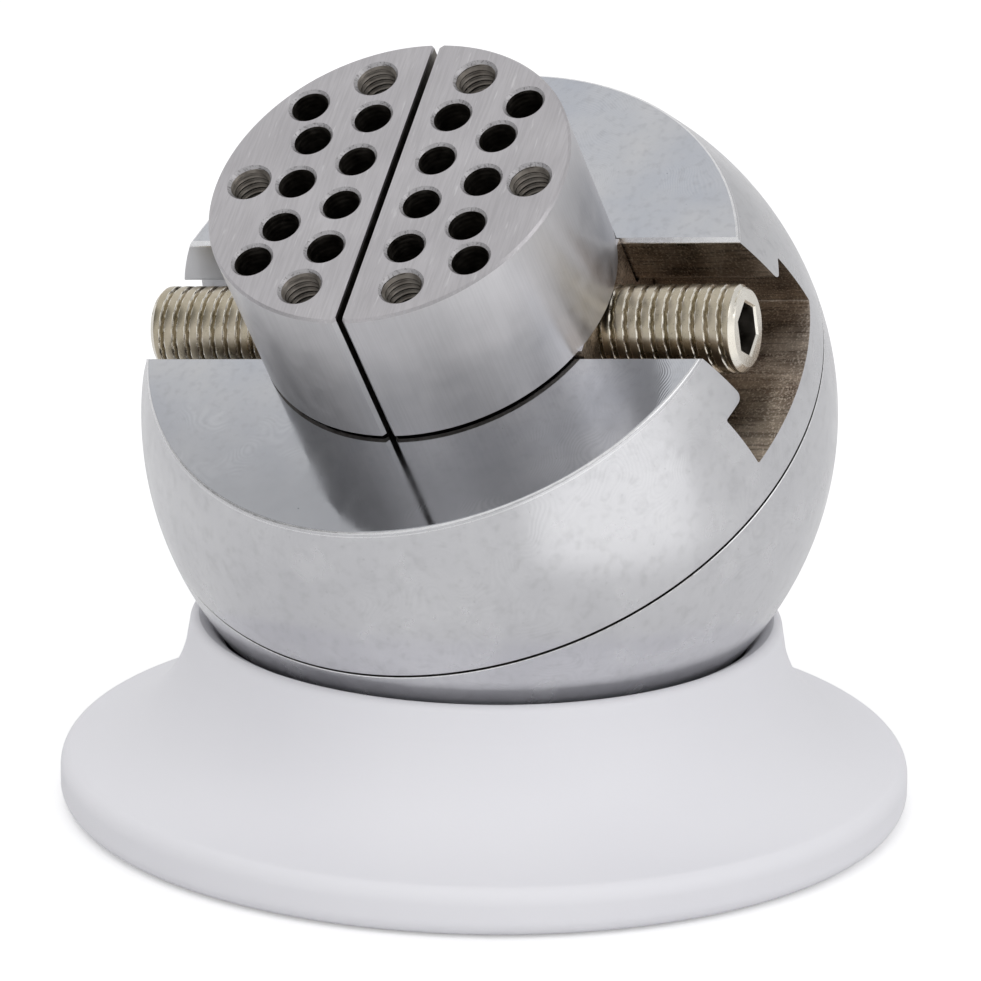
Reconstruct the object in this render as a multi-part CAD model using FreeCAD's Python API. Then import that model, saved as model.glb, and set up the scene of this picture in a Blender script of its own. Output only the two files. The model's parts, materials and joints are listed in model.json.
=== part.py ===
import FreeCAD, Part
import math
import os

from FreeCAD import Placement, Rotation, Vector

# A ball vise: a steel ball rests in a ring base and tilts and swivels in it. The ball is split
# near its equator, and its upper half turns on two bearings. Two jaws slide apart on a screw with
# a left-hand and a right-hand thread, in a T-shaped slot across the flat top of the ball.
# All lengths are in millimetres. The origin is the centre of the base's underside, with +Z up.

# Pose of the ball at rest, in degrees
lean_angle = 34.4
lean_heading = 238.2
head_turn_angle = 102.3

# Ball
ball_radius = 50.0
ball_floor_room = 7.5
parting_height = 1.2
parting_gap = 0.45
parting_edge = 0.25
flat_height = 24.6
flat_rim_bevel = 0.5

# T-shaped slot across the upper ball
slot_mouth_width = 21.8
slot_lip_depth = 8.5
slot_ledge_width = 4.4
slot_floor_thickness = 5.675
slot_lip_round = 1.2
slot_mouth_round = 0.5

# Jaws
jaw_radius = 26.4
jaw_head_height = 24.1
jaw_lift = 0.35
jaw_split = 1.0
jaw_split_bevel = 0.5
jaw_edge_bevel = 0.35
jaw_foot_inset = 1.7
jaw_closing_room = 0.8
slide_clearance = 0.3

# Pin holes and tapped holes in the top of each jaw
pin_hole_radius = 2.7
tapped_hole_radius = 2.9
hole_depth = 14.0
hole_bevel = 0.4
near_row_offset = 6.05
middle_row_offset = 14.05
row_pitch = 8.26
outer_pair_inset = 4.4
outer_pair_angle = 42.0
tapped_inset = 5.2
tapped_angle = 69.0

# Jaw screw
screw_depth = 6.4
screw_radius = 6.25
screw_half_length = 44.8
screw_pitch = 2.0
thread_depth = 0.8
thread_groove_width = 0.95
screw_end_bevel = 0.8
screw_neck_radius = 4.0
screw_socket_across = 6.8
screw_socket_depth = 7.0
running_clearance = 0.1
end_play = 0.1

# Yoke that holds the neck of the jaw screw
yoke_thickness = 9.0
yoke_top_drop = 0.3
yoke_screw_spacing = 15.0
yoke_screw_radius = 1.5
yoke_screw_head_radius = 2.75
yoke_screw_head_height = 3.0
yoke_screw_socket = 2.5
yoke_screw_seat = 6.0

# Spindle
spindle_radius = 10.0
spindle_flange_radius = 24.0
spindle_flange_thickness = 4.5
spindle_shoulder_radius = 12.6
spindle_shoulder_height = 0.5
spindle_pilot_radius = 5.0
spindle_pilot_height = 2.0
spindle_end_bevel = 0.6
spindle_tail = 0.6
spindle_screw_inset = 6.0
spindle_screw_radius = 2.5
spindle_screw_head_radius = 4.6
spindle_screw_head_height = 2.6
spindle_screw_socket = 3.0
flange_side_room = 0.6

# Bearings between the spindle and the lower ball
upper_bearing_radius = 21.0
upper_bearing_width = 12.0
upper_bearing_ball_radius = 3.175
upper_bearing_ball_count = 9
lower_bearing_radius = 18.5
lower_bearing_width = 9.0
lower_bearing_ball_radius = 2.0
lower_bearing_ball_count = 13
bearing_land_share = 0.6
bearing_edge_bevel = 0.6
cage_pocket_room = 0.2
cage_side_room = 0.35
cage_wall = 0.8
rolling_clearance = 0.12
bearing_web_radius = 16.6
spacer_wall = 2.6

# Lock washer and lock nut under the lower bearing
lock_washer_inset = 1.5
lock_washer_thickness = 1.5
lock_washer_tab_length = 1.4
lock_washer_tab_width = 3.0
lock_washer_tab_count = 8
lock_nut_room = 0.8
lock_nut_height = 4.5
lock_nut_bevel = 0.8
lock_nut_slot_width = 5.0
lock_nut_slot_depth = 2.0
lock_nut_slot_count = 4

# Plug that closes the bottom of the ball
plug_step = 0.5
plug_wall = 2.2
plug_floor_thickness = 4.0
plug_inset = 0.2
plug_room = 0.4
plug_spanner_circle = 11.0
plug_spanner_hole_radius = 1.6
plug_spanner_hole_depth = 4.0

# Drag screw and its pad, which brake the spindle
drag_screw_radius = 2.5
drag_screw_sink = 2.0
drag_screw_socket = 2.5
drag_screw_socket_depth = 3.0
drag_pad_length = 6.0
drag_mouth_bevel = 0.4

# Fits between pieces that don't move on each other
fit_clearance = 0.02
fastener_clearance = 0.05
tapping_room = 0.4
blind_end_room = 1.1

# Ring base and the rubber seat ring inside its mouth
base_rim_radius = 61.6
base_rim_height = 7.6
base_rim_round = 3.0
base_rim_round_angle = 60.0
base_foot_inset = 2.0
base_foot_lift = 2.5
base_flare_sag = 3.4
base_mouth_angle = 37.9
base_collar_wall = 3.1
base_collar_spread = 0.6
base_collar_straight = 5.0
base_collar_round = 1.3
base_lip_slope = 0.9
base_ledge_width = 1.8
base_bore_bevel = 1.0
base_lip_thickness = 2.0
base_mouth_gap = 0.45
seat_ring_thickness = 1.8
seat_ring_height = 5.8
seat_gap = 0.3

# How far every cutting shape runs past what it cuts
overrun = 2.0

# Places that follow from the sizes above, in the ball's own frame: the ball's centre is its
# origin, +X lies along the jaw screw and +Z along the axis that the upper ball turns about
upper_ball_bottom = parting_height + parting_gap / 2
lower_ball_top = parting_height - parting_gap / 2
slot_floor_height = upper_ball_bottom + slot_floor_thickness
slot_undercut_width = slot_mouth_width + 2 * slot_ledge_width
slot_ceiling_height = flat_height - slot_lip_depth
screw_height = flat_height - screw_depth
jaw_bottom_height = flat_height + jaw_lift
jaw_top_height = jaw_bottom_height + jaw_head_height
flange_bottom = upper_ball_bottom - spindle_flange_thickness
shoulder_bottom = flange_bottom - spindle_shoulder_height
upper_bearing_bottom = shoulder_bottom - upper_bearing_width
plug_floor = plug_floor_thickness - ball_radius
spindle_bottom = plug_floor + plug_room
lock_nut_bottom = spindle_bottom + spindle_tail
lock_washer_bottom = lock_nut_bottom + lock_nut_height
lower_bearing_bottom = lock_washer_bottom + lock_washer_thickness
lower_bearing_top = lower_bearing_bottom + lower_bearing_width
web_middle = (upper_bearing_bottom + lower_bearing_top) / 2
yoke_half = yoke_thickness / 2
jaw_foot_start = yoke_half + jaw_closing_room
jaw_foot_reach = jaw_radius - jaw_foot_inset
outer_pair_circle = jaw_radius - outer_pair_inset
tapped_circle = jaw_radius - tapped_inset
floor_screw_bite = slot_floor_thickness - blind_end_room
spindle_screw_circle = spindle_flange_radius - spindle_screw_inset
spacer_radius = spindle_radius + spacer_wall
plug_bottom_radius = ball_radius - plug_inset
plug_radius = lower_bearing_radius + plug_step
plug_recess_radius = plug_radius - plug_wall
lock_nut_radius = plug_recess_radius - lock_nut_room
lock_washer_radius = lock_nut_radius - lock_washer_inset

# Places that follow from the sizes above, in the frame of the base
ball_centre_height = ball_radius + ball_floor_room
base_mouth_radius = ball_radius + base_mouth_gap
base_collar_drop = base_mouth_radius * math.sin(math.radians(base_mouth_angle))
base_collar_bore = base_mouth_radius * math.cos(math.radians(base_mouth_angle))
base_mouth_height = ball_centre_height - base_collar_drop
base_collar_height = base_mouth_height + base_lip_slope
base_collar_radius = base_collar_bore + base_collar_wall
base_flare_top_radius = base_collar_radius + base_collar_spread
base_flare_top_height = base_collar_height - base_collar_straight


def flat_point(across, up):
    """A point of the plane that holds radius and height."""
    return Vector(across, 0, up)


def slot_point(across, up):
    """A point of the plane square to the slot."""
    return Vector(0, across, up)


def plan_point(along, across):
    """A point of the plane seen from above."""
    return Vector(along, across, 0)


def on_sphere(radius, height):
    """The point of a sphere's outline at a height above its centre."""
    return (math.sqrt(radius ** 2 - height ** 2), height)


def arc_step(radius, start_height, end_height, centre_height=0.0):
    """An arc of a sphere's outline, as its middle point and its end point."""
    middle = on_sphere(radius, (start_height + end_height) / 2)
    end = on_sphere(radius, end_height)
    return ((middle[0], middle[1] + centre_height), (end[0], end[1] + centre_height))


def on_arc(centre, radius, angle):
    """A point at an angle above the outward direction, about a centre given as radius and height."""
    turn = math.radians(angle)
    return (centre[0] + radius * math.cos(turn), centre[1] + radius * math.sin(turn))


def sagging_middle(start, end, sag):
    """The middle of an arc from an outer, lower point to an inner, higher one that sags inward."""
    along = end[0] - start[0]
    rise = end[1] - start[1]
    chord = math.hypot(along, rise)
    return ((start[0] + end[0]) / 2 - sag * rise / chord, (start[1] + end[1]) / 2 + sag * along / chord)


def outline_face(start, steps):
    """A face in the plane of radius and height. A step is an end point, or a pair of a point
    that an arc passes through and its end point."""
    edges = []
    here = flat_point(*start)
    for step in steps + [start]:
        arc = isinstance(step[0], tuple)
        end = flat_point(*(step[1] if arc else step))
        if arc:
            edges.append(Part.Arc(here, flat_point(*step[0]), end).toShape())
        elif not end.isEqual(here, 0):
            edges.append(Part.LineSegment(here, end).toShape())
        here = end
    return Part.Face(Part.Wire(edges))


def turned(start, steps):
    """A solid turned about the Z axis from an outline of radius and height."""
    return outline_face(start, steps).revolve(Vector(0, 0, 0), Vector(0, 0, 1), 360)


def rounded_face(corners, place):
    """A polygon whose corners are (across, up, rounding radius)."""
    points = [place(across, up) for across, up, rounding in corners]
    edges = []
    count = len(corners)
    exits = []
    for index, (across, up, rounding) in enumerate(corners):
        here = points[index]
        if rounding == 0:
            exits.append((here, here))
            continue
        back = (points[index - 1] - here).normalize()
        ahead = (points[(index + 1) % count] - here).normalize()
        half_turn = back.getAngle(ahead) / 2
        setback = rounding / math.tan(half_turn)
        bisector = (back + ahead).normalize()
        middle = here + bisector * (rounding / math.sin(half_turn) - rounding)
        first = here + back * setback
        last = here + ahead * setback
        edges.append(Part.Arc(first, middle, last).toShape())
        exits.append((first, last))
    for index in range(count):
        start = exits[index][1]
        end = exits[(index + 1) % count][0]
        edges.append(Part.LineSegment(start, end).toShape())
    return Part.Face(Part.Wire(Part.__sortEdges__(edges)))


def block(low, high):
    """A box between two opposite corners."""
    size = high - low
    return Part.makeBox(size.x, size.y, size.z, low)


def rod(radius, bottom, top, across=0.0, aside=0.0):
    """An upright cylinder between two heights."""
    return Part.makeCylinder(radius, top - bottom, Vector(across, aside, bottom))


def hex_prism(across_flats, bottom, top):
    """An upright six-sided prism with two flats square to X."""
    corner_radius = across_flats / math.sqrt(3)
    corners = []
    for side in range(6):
        angle = math.radians(60 * side + 30)
        corners.append(Vector(corner_radius * math.cos(angle), corner_radius * math.sin(angle), bottom))
    face = Part.Face(Part.makePolygon(corners + corners[:1]))
    return face.extrude(Vector(0, 0, top - bottom))


def lay(shape, direction, position):
    """A copy of an upright shape turned to point along a direction from a position."""
    copy = shape.copy()
    copy.Placement = Placement(position, Rotation(Vector(0, 0, 1), direction))
    return copy


def around(shape, count, start=0.0):
    """Copies of a shape spaced evenly about the Z axis."""
    copies = []
    for index in range(count):
        copy = shape.copy()
        copy.rotate(Vector(0, 0, 0), Vector(0, 0, 1), start + 360 * index / count)
        copies.append(copy)
    return copies


def edges_at_height(shape, height):
    """The edges of a shape that lie wholly at one height."""
    found = []
    for edge in shape.Edges:
        box = edge.BoundBox
        if abs(box.ZMin - height) < jaw_edge_bevel / 10 and abs(box.ZMax - height) < jaw_edge_bevel / 10:
            found.append(edge)
    return found


def in_ball(shape):
    """A shape of the ball's own frame, placed as the ball rests in its base."""
    placed = shape.copy()
    lean = Rotation(Vector(0, 1, 0), lean_angle)
    heading = Rotation(Vector(0, 0, 1), lean_heading)
    turn = Rotation(Vector(0, 0, 1), head_turn_angle)
    where = Placement(Vector(0, 0, ball_centre_height), heading * lean * turn)
    placed.Placement = where * placed.Placement
    return placed


# Ring base

def make_base():
    """The moulded ring: a short collar, a sweeping flare and a rounded rim, with a groove for the
    seat ring."""
    groove_radius = ball_radius + seat_gap + seat_ring_thickness + seat_gap
    lip_bottom = base_mouth_height - base_lip_thickness
    ledge_height = lip_bottom - seat_ring_height - 2 * seat_gap
    centre = ball_centre_height
    bore_radius = on_sphere(groove_radius, ledge_height - centre)[0] - base_ledge_width
    rim_turn = (base_rim_radius - base_rim_round, base_rim_height - base_rim_round)
    flare_start = on_arc(rim_turn, base_rim_round, base_rim_round_angle)
    flare_end = (base_flare_top_radius, base_flare_top_height)
    lip_turn = (base_collar_radius - base_collar_round, base_collar_height - base_collar_round)
    foot_corner_share = 1 - math.sqrt(0.5)
    start = (bore_radius + base_bore_bevel, 0)
    steps = [
        (base_rim_radius - base_foot_inset, 0),
        ((base_rim_radius - base_foot_inset * foot_corner_share, base_foot_lift * foot_corner_share),
         (base_rim_radius, base_foot_lift)),
        (base_rim_radius, base_rim_height - base_rim_round),
        (on_arc(rim_turn, base_rim_round, base_rim_round_angle / 2), flare_start),
        (sagging_middle(flare_start, flare_end, base_flare_sag), flare_end),
        (base_collar_radius, base_collar_height - base_collar_round),
        (on_arc(lip_turn, base_collar_round, 45), (lip_turn[0], base_collar_height)),
        (base_collar_bore, base_mouth_height),
        arc_step(base_mouth_radius, -base_collar_drop, lip_bottom - centre, centre),
        (on_sphere(groove_radius, lip_bottom - centre)[0], lip_bottom),
        arc_step(groove_radius, lip_bottom - centre, ledge_height - centre, centre),
        (bore_radius, ledge_height),
        (bore_radius, base_bore_bevel),
    ]
    return turned(start, steps)


def make_seat_ring():
    """The rubber ring that grips the ball, trapped under the lip of the base."""
    inner_radius = ball_radius + seat_gap
    outer_radius = inner_radius + seat_ring_thickness
    top = base_mouth_height - base_lip_thickness - seat_gap - ball_centre_height
    bottom = top - seat_ring_height
    start = on_sphere(inner_radius, top)
    steps = [
        on_sphere(outer_radius, top),
        arc_step(outer_radius, top, bottom),
        on_sphere(inner_radius, bottom),
        arc_step(inner_radius, bottom, top),
    ]
    ring = turned(start, steps)
    ring.translate(Vector(0, 0, ball_centre_height))
    return ring


# Upper ball

def make_slot_cutter():
    """The T-shaped slot, with rounded lips."""
    mouth = slot_mouth_width / 2
    undercut = slot_undercut_width / 2
    above = flat_height + overrun
    funnel = mouth + slot_mouth_round
    right = [
        (funnel, above, 0),
        (funnel, flat_height, 0),
        (mouth, flat_height - slot_mouth_round, 0),
        (mouth, slot_ceiling_height, slot_lip_round),
        (undercut, slot_ceiling_height, 0),
        (undercut, slot_floor_height, 0),
    ]
    left = [(-across, up, rounding) for across, up, rounding in reversed(right)]
    reach = ball_radius + overrun
    cutter = rounded_face(right + left, slot_point).extrude(Vector(2 * reach, 0, 0))
    cutter.translate(Vector(-reach, 0, 0))
    return cutter


def spindle_screw_places():
    """The four screws that hold the spindle's flange to the upper ball."""
    corner = spindle_screw_circle * math.sqrt(0.5)
    return [(corner * side, corner * end) for side in (-1, 1) for end in (-1, 1)]


def yoke_screw_places():
    """The two screws that hold the yoke, one each side of the jaw screw."""
    return [(0.0, side * yoke_screw_spacing / 2) for side in (-1, 1)]


def make_upper_ball():
    """The upper part of the ball: a flat top with a bevelled rim, the slot and the tapped holes."""
    rim_bottom = flat_height - flat_rim_bevel
    edge_top = upper_ball_bottom + parting_edge
    start = (0, upper_ball_bottom)
    steps = [
        (on_sphere(ball_radius, edge_top)[0] - parting_edge, upper_ball_bottom),
        on_sphere(ball_radius, edge_top),
        arc_step(ball_radius, edge_top, rim_bottom),
        (on_sphere(ball_radius, rim_bottom)[0] - flat_rim_bevel, flat_height),
        (0, flat_height),
    ]
    body = turned(start, steps).cut(make_slot_cutter())
    pilot_bore = rod(spindle_pilot_radius + fit_clearance, upper_ball_bottom - overrun,
                     upper_ball_bottom + spindle_pilot_height + fastener_clearance)
    cutters = [pilot_bore]
    for across, aside in spindle_screw_places():
        cutters.append(rod(spindle_screw_radius + fastener_clearance, upper_ball_bottom - overrun,
                           upper_ball_bottom + floor_screw_bite + tapping_room, across, aside))
    for across, aside in yoke_screw_places():
        cutters.append(rod(yoke_screw_radius + fastener_clearance,
                           slot_floor_height - floor_screw_bite - tapping_room,
                           slot_floor_height + overrun, across, aside))
    return body.cut(cutters)


# Spindle and its screws

def make_spindle():
    """The flanged shaft that hangs from the upper ball and turns in the bearings."""
    start = (0, upper_ball_bottom + spindle_pilot_height)
    steps = [
        (spindle_pilot_radius, upper_ball_bottom + spindle_pilot_height),
        (spindle_pilot_radius, upper_ball_bottom),
        (spindle_flange_radius, upper_ball_bottom),
        (spindle_flange_radius, flange_bottom),
        (spindle_shoulder_radius, flange_bottom),
        (spindle_shoulder_radius, shoulder_bottom),
        (spindle_radius, shoulder_bottom),
        (spindle_radius, spindle_bottom + spindle_end_bevel),
        (spindle_radius - spindle_end_bevel, spindle_bottom),
        (0, spindle_bottom),
    ]
    holes = []
    for across, aside in spindle_screw_places():
        hole = rod(spindle_screw_radius + fastener_clearance, flange_bottom - overrun,
                   upper_ball_bottom + overrun, across, aside)
        seat = Part.makeCone(spindle_screw_head_radius + fastener_clearance,
                             spindle_screw_radius + fastener_clearance, spindle_screw_head_height,
                             Vector(across, aside, flange_bottom))
        holes += [hole, seat]
    return turned(start, steps).cut(holes)


def make_spindle_screws():
    """Four countersunk screws that come up through the flange."""
    screws = []
    for across, aside in spindle_screw_places():
        head = Part.makeCone(spindle_screw_head_radius, spindle_screw_radius, spindle_screw_head_height,
                             Vector(across, aside, flange_bottom))
        shank = rod(spindle_screw_radius, flange_bottom, upper_ball_bottom + floor_screw_bite,
                    across, aside)
        socket = hex_prism(spindle_screw_socket, flange_bottom - overrun,
                           flange_bottom + spindle_screw_head_height / 2)
        socket.translate(Vector(across, aside, 0))
        screws.append(head.fuse(shank).removeSplitter().cut(socket))
    return Part.makeCompound(screws)


def make_bearing_spacer():
    """The sleeve that keeps the two inner rings apart."""
    sleeve = rod(spacer_radius, lower_bearing_top, upper_bearing_bottom)
    return sleeve.cut(rod(spindle_radius + fit_clearance, lower_bearing_top - overrun,
                          upper_bearing_bottom + overrun))


def make_lock_washer():
    """The tabbed washer between the lower inner ring and the lock nut."""
    disc = rod(lock_washer_radius, lock_washer_bottom, lower_bearing_bottom)
    half = lock_washer_tab_width / 2
    tab = block(Vector(lock_washer_radius - lock_washer_tab_length, -half, lock_washer_bottom),
                Vector(lock_washer_radius + lock_washer_tab_length, half, lower_bearing_bottom))
    body = disc.fuse(around(tab, lock_washer_tab_count)).removeSplitter()
    return body.cut(rod(spindle_radius + fit_clearance, lock_washer_bottom - overrun,
                        lower_bearing_bottom + overrun))


def make_lock_nut():
    """The slotted round nut that clamps the bearings."""
    start = (spindle_radius + fit_clearance, lock_nut_bottom)
    steps = [
        (lock_nut_radius - lock_nut_bevel, lock_nut_bottom),
        (lock_nut_radius, lock_nut_bottom + lock_nut_bevel),
        (lock_nut_radius, lock_washer_bottom),
        (spindle_radius + fit_clearance, lock_washer_bottom),
    ]
    half = lock_nut_slot_width / 2
    slot = block(Vector(lock_nut_radius - lock_nut_slot_depth, -half, lock_nut_bottom - overrun),
                 Vector(lock_nut_radius + overrun, half, lock_washer_bottom + overrun))
    return turned(start, steps).cut(around(slot, lock_nut_slot_count))


# Bearings

def bearing_land(pitch_radius, ball, side):
    """The radius of the land of a ring, inside or outside the circle of ball centres."""
    return pitch_radius + side * ball * bearing_land_share


def race(inner, outer, bottom, top, pitch_radius, ball):
    """A bearing ring with bevelled edges and a groove for the balls."""
    bevel = bearing_edge_bevel
    start = (inner, bottom + bevel)
    steps = [
        (inner + bevel, bottom),
        (outer - bevel, bottom),
        (outer, bottom + bevel),
        (outer, top - bevel),
        (outer - bevel, top),
        (inner + bevel, top),
        (inner, top - bevel),
    ]
    groove = Part.makeTorus(pitch_radius, ball + rolling_clearance, Vector(0, 0, (bottom + top) / 2))
    return turned(start, steps).cut(groove)


def make_bearing(outer_radius, top, width, ball, count):
    """The inner ring, outer ring, cage and balls of one bearing on the spindle."""
    pitch_radius = (spindle_radius + outer_radius) / 2
    bottom = top - width
    middle = (top + bottom) / 2
    inner_land = bearing_land(pitch_radius, ball, -1)
    outer_land = bearing_land(pitch_radius, ball, 1)
    inner = race(spindle_radius + fit_clearance, inner_land, bottom, top, pitch_radius, ball)
    outer = race(outer_land, outer_radius, bottom, top, pitch_radius, ball)
    balls = around(Part.makeSphere(ball, Vector(pitch_radius, 0, middle)), count)
    pocket = Part.makeCylinder(ball + cage_pocket_room, outer_radius, Vector(0, 0, middle), Vector(1, 0, 0))
    cage_half = ball + cage_pocket_room + cage_wall
    cage = rod(outer_land - cage_side_room, middle - cage_half, middle + cage_half)
    cage = cage.cut(rod(inner_land + cage_side_room, middle - cage_half - overrun,
                        middle + cage_half + overrun))
    cage = cage.cut(around(pocket, count))
    return inner, outer, cage, Part.makeCompound(balls)


# Lower ball and what closes and brakes it

def make_lower_ball():
    """The lower part of the ball, bored for the flange, both bearings and the plug."""
    edge_bottom = lower_ball_top - parting_edge
    recess_radius = spindle_flange_radius + flange_side_room
    upper_seat = upper_bearing_radius + fit_clearance
    lower_seat = lower_bearing_radius + fit_clearance
    start = (recess_radius, lower_ball_top)
    plug_mouth_height = on_sphere(ball_radius, plug_radius)[0]
    steps = [
        (recess_radius, shoulder_bottom),
        (upper_seat, shoulder_bottom),
        (upper_seat, upper_bearing_bottom),
        (bearing_web_radius, upper_bearing_bottom),
        (bearing_web_radius, lower_bearing_top),
        (lower_seat, lower_bearing_top),
        (lower_seat, lower_bearing_bottom),
        (plug_radius, lower_bearing_bottom),
        (plug_radius, -plug_mouth_height),
        arc_step(ball_radius, -plug_mouth_height, edge_bottom),
        (on_sphere(ball_radius, edge_bottom)[0] - parting_edge, lower_ball_top),
    ]
    body = turned(start, steps)
    drag_radius = drag_screw_radius + fastener_clearance
    bore = Part.makeCylinder(drag_radius, ball_radius + overrun)
    mouth_reach = on_sphere(ball_radius, web_middle)[0]
    bevel = Part.makeCone(drag_radius, drag_radius + drag_mouth_bevel + overrun,
                          drag_mouth_bevel + overrun, Vector(0, 0, mouth_reach - drag_mouth_bevel))
    cutters = [lay(piece, Vector(0, 1, 0), Vector(0, 0, web_middle)) for piece in (bore, bevel)]
    return body.cut(cutters)


def make_bottom_plug():
    """The threaded cup that clamps the lower bearing, turned to follow the ball, with two holes
    for a pin spanner."""
    radius = plug_radius - fastener_clearance
    start = (0, plug_floor)
    edge_height = -on_sphere(plug_bottom_radius, radius)[0]
    steps = [
        (plug_recess_radius, plug_floor),
        (plug_recess_radius, lower_bearing_bottom),
        (radius, lower_bearing_bottom),
        (radius, edge_height),
        arc_step(plug_bottom_radius, edge_height, -plug_bottom_radius),
    ]
    holes = []
    for side in (-1, 1):
        holes.append(rod(plug_spanner_hole_radius, -ball_radius - overrun,
                         plug_spanner_hole_depth - ball_radius, side * plug_spanner_circle))
    return turned(start, steps).cut(holes)


def make_drag_pad():
    """The nylon pad that rubs on the spacer."""
    start = spacer_radius + slide_clearance
    pad = rod(drag_screw_radius, start, start + drag_pad_length)
    return lay(pad, Vector(0, 1, 0), Vector(0, 0, web_middle))


def make_drag_screw():
    """The set screw that presses on the pad, sunk below the surface of the ball."""
    start = spacer_radius + slide_clearance + drag_pad_length
    end = on_sphere(ball_radius, web_middle)[0] - drag_screw_sink
    body = rod(drag_screw_radius, start, end)
    body = body.cut(hex_prism(drag_screw_socket, end - drag_screw_socket_depth, end + overrun))
    return lay(body, Vector(0, 1, 0), Vector(0, 0, web_middle))


# Jaw screw and the yoke that holds it

def make_lead_screw():
    """The jaw screw: right-hand thread on the +X half, left-hand thread on the other half."""
    neck_half = yoke_half + end_play
    start = (0, neck_half)
    steps = [
        (screw_radius - thread_depth, neck_half),
        (screw_radius, neck_half + thread_depth),
        (screw_radius, screw_half_length - screw_end_bevel),
        (screw_radius - screw_end_bevel, screw_half_length),
        (0, screw_half_length),
    ]
    half = turned(start, steps)
    root_radius = screw_radius - thread_depth
    top_radius = screw_radius + thread_depth / 2
    half_width = thread_groove_width / 2 * (top_radius - root_radius) / thread_depth
    turns_length = screw_half_length - neck_half + 2 * screw_pitch
    helix = Part.makeLongHelix(screw_pitch, turns_length, root_radius, 0, False)
    profile = Part.makePolygon([flat_point(root_radius, 0), flat_point(top_radius, half_width),
                                flat_point(top_radius, -half_width), flat_point(root_radius, 0)])
    groove = Part.Wire(helix).makePipeShell([profile], True, True)
    groove.translate(Vector(0, 0, neck_half - screw_pitch))
    half = half.cut(groove)
    half = half.cut(hex_prism(screw_socket_across, screw_half_length - screw_socket_depth,
                              screw_half_length + overrun))
    other_half = half.mirror(Vector(0, 0, 0), Vector(0, 0, 1))
    neck = rod(screw_neck_radius, -neck_half, neck_half)
    whole = neck.fuse([half, other_half])
    return lay(whole, Vector(1, 0, 0), Vector(0, 0, screw_height))


def make_screw_yoke():
    """The block in the middle of the slot, open at the top for the neck of the jaw screw."""
    width = slot_mouth_width / 2 - slide_clearance
    wing = slot_undercut_width / 2 - slide_clearance
    top = flat_height - yoke_top_drop
    body = block(Vector(-yoke_half, -width, slot_floor_height), Vector(yoke_half, width, top))
    wings = block(Vector(-yoke_half, -wing, slot_floor_height),
                  Vector(yoke_half, wing, slot_ceiling_height - slide_clearance))
    notch = screw_neck_radius + running_clearance
    cradle = Part.makeCylinder(notch, yoke_thickness + 2 * overrun,
                               Vector(-yoke_half - overrun, 0, screw_height), Vector(1, 0, 0))
    way_in = block(Vector(-yoke_half - overrun, -notch, screw_height),
                   Vector(yoke_half + overrun, notch, top + overrun))
    cutters = [cradle.fuse(way_in)]
    seat = slot_floor_height + yoke_screw_seat
    for across, aside in yoke_screw_places():
        cutters.append(rod(yoke_screw_radius + fastener_clearance, slot_floor_height - overrun,
                           top + overrun, across, aside))
        cutters.append(rod(yoke_screw_head_radius + fastener_clearance, seat, top + overrun,
                           across, aside))
    return body.fuse(wings).removeSplitter().cut(cutters)


def make_yoke_screws():
    """Two cap screws that hold the yoke down."""
    seat = slot_floor_height + yoke_screw_seat
    screws = []
    for across, aside in yoke_screw_places():
        shank = rod(yoke_screw_radius, slot_floor_height - floor_screw_bite, seat, across, aside)
        head = rod(yoke_screw_head_radius, seat, seat + yoke_screw_head_height, across, aside)
        socket = hex_prism(yoke_screw_socket, seat + yoke_screw_head_height / 2,
                           seat + yoke_screw_head_height + overrun)
        socket.translate(Vector(across, aside, 0))
        screws.append(head.fuse(shank).removeSplitter().cut(socket))
    return Part.makeCompound(screws)


# Jaws

def drilled_hole(radius, along, across):
    """A blind hole with a bevelled mouth and a drill point, down from the top of a jaw."""
    mouth = radius + hole_bevel
    start = (0, jaw_top_height + overrun)
    steps = [
        (mouth, jaw_top_height + overrun),
        (mouth, jaw_top_height),
        (radius, jaw_top_height - hole_bevel),
        (radius, jaw_top_height - hole_depth),
        (0, jaw_top_height - hole_depth - radius / 2),
    ]
    hole = turned(start, steps)
    hole.translate(plan_point(along, across))
    return hole


def on_circle(radius, angle):
    """A place on a circle about the axis of the ball."""
    return (radius * math.cos(math.radians(angle)), radius * math.sin(math.radians(angle)))


def pin_hole_places():
    """The nine pin holes of a jaw: four near the split, three behind them and two outside."""
    near = [(near_row_offset, row_pitch * (step + 0.5)) for step in range(-2, 2)]
    middle = [(middle_row_offset, row_pitch * step) for step in (-1, 0, 1)]
    outer = [on_circle(outer_pair_circle, side * outer_pair_angle) for side in (-1, 1)]
    return near + middle + outer


def tapped_hole_places():
    """The three tapped holes of a jaw, near its round side."""
    return [on_circle(tapped_circle, side * tapped_angle) for side in (-1, 0, 1)]


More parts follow.
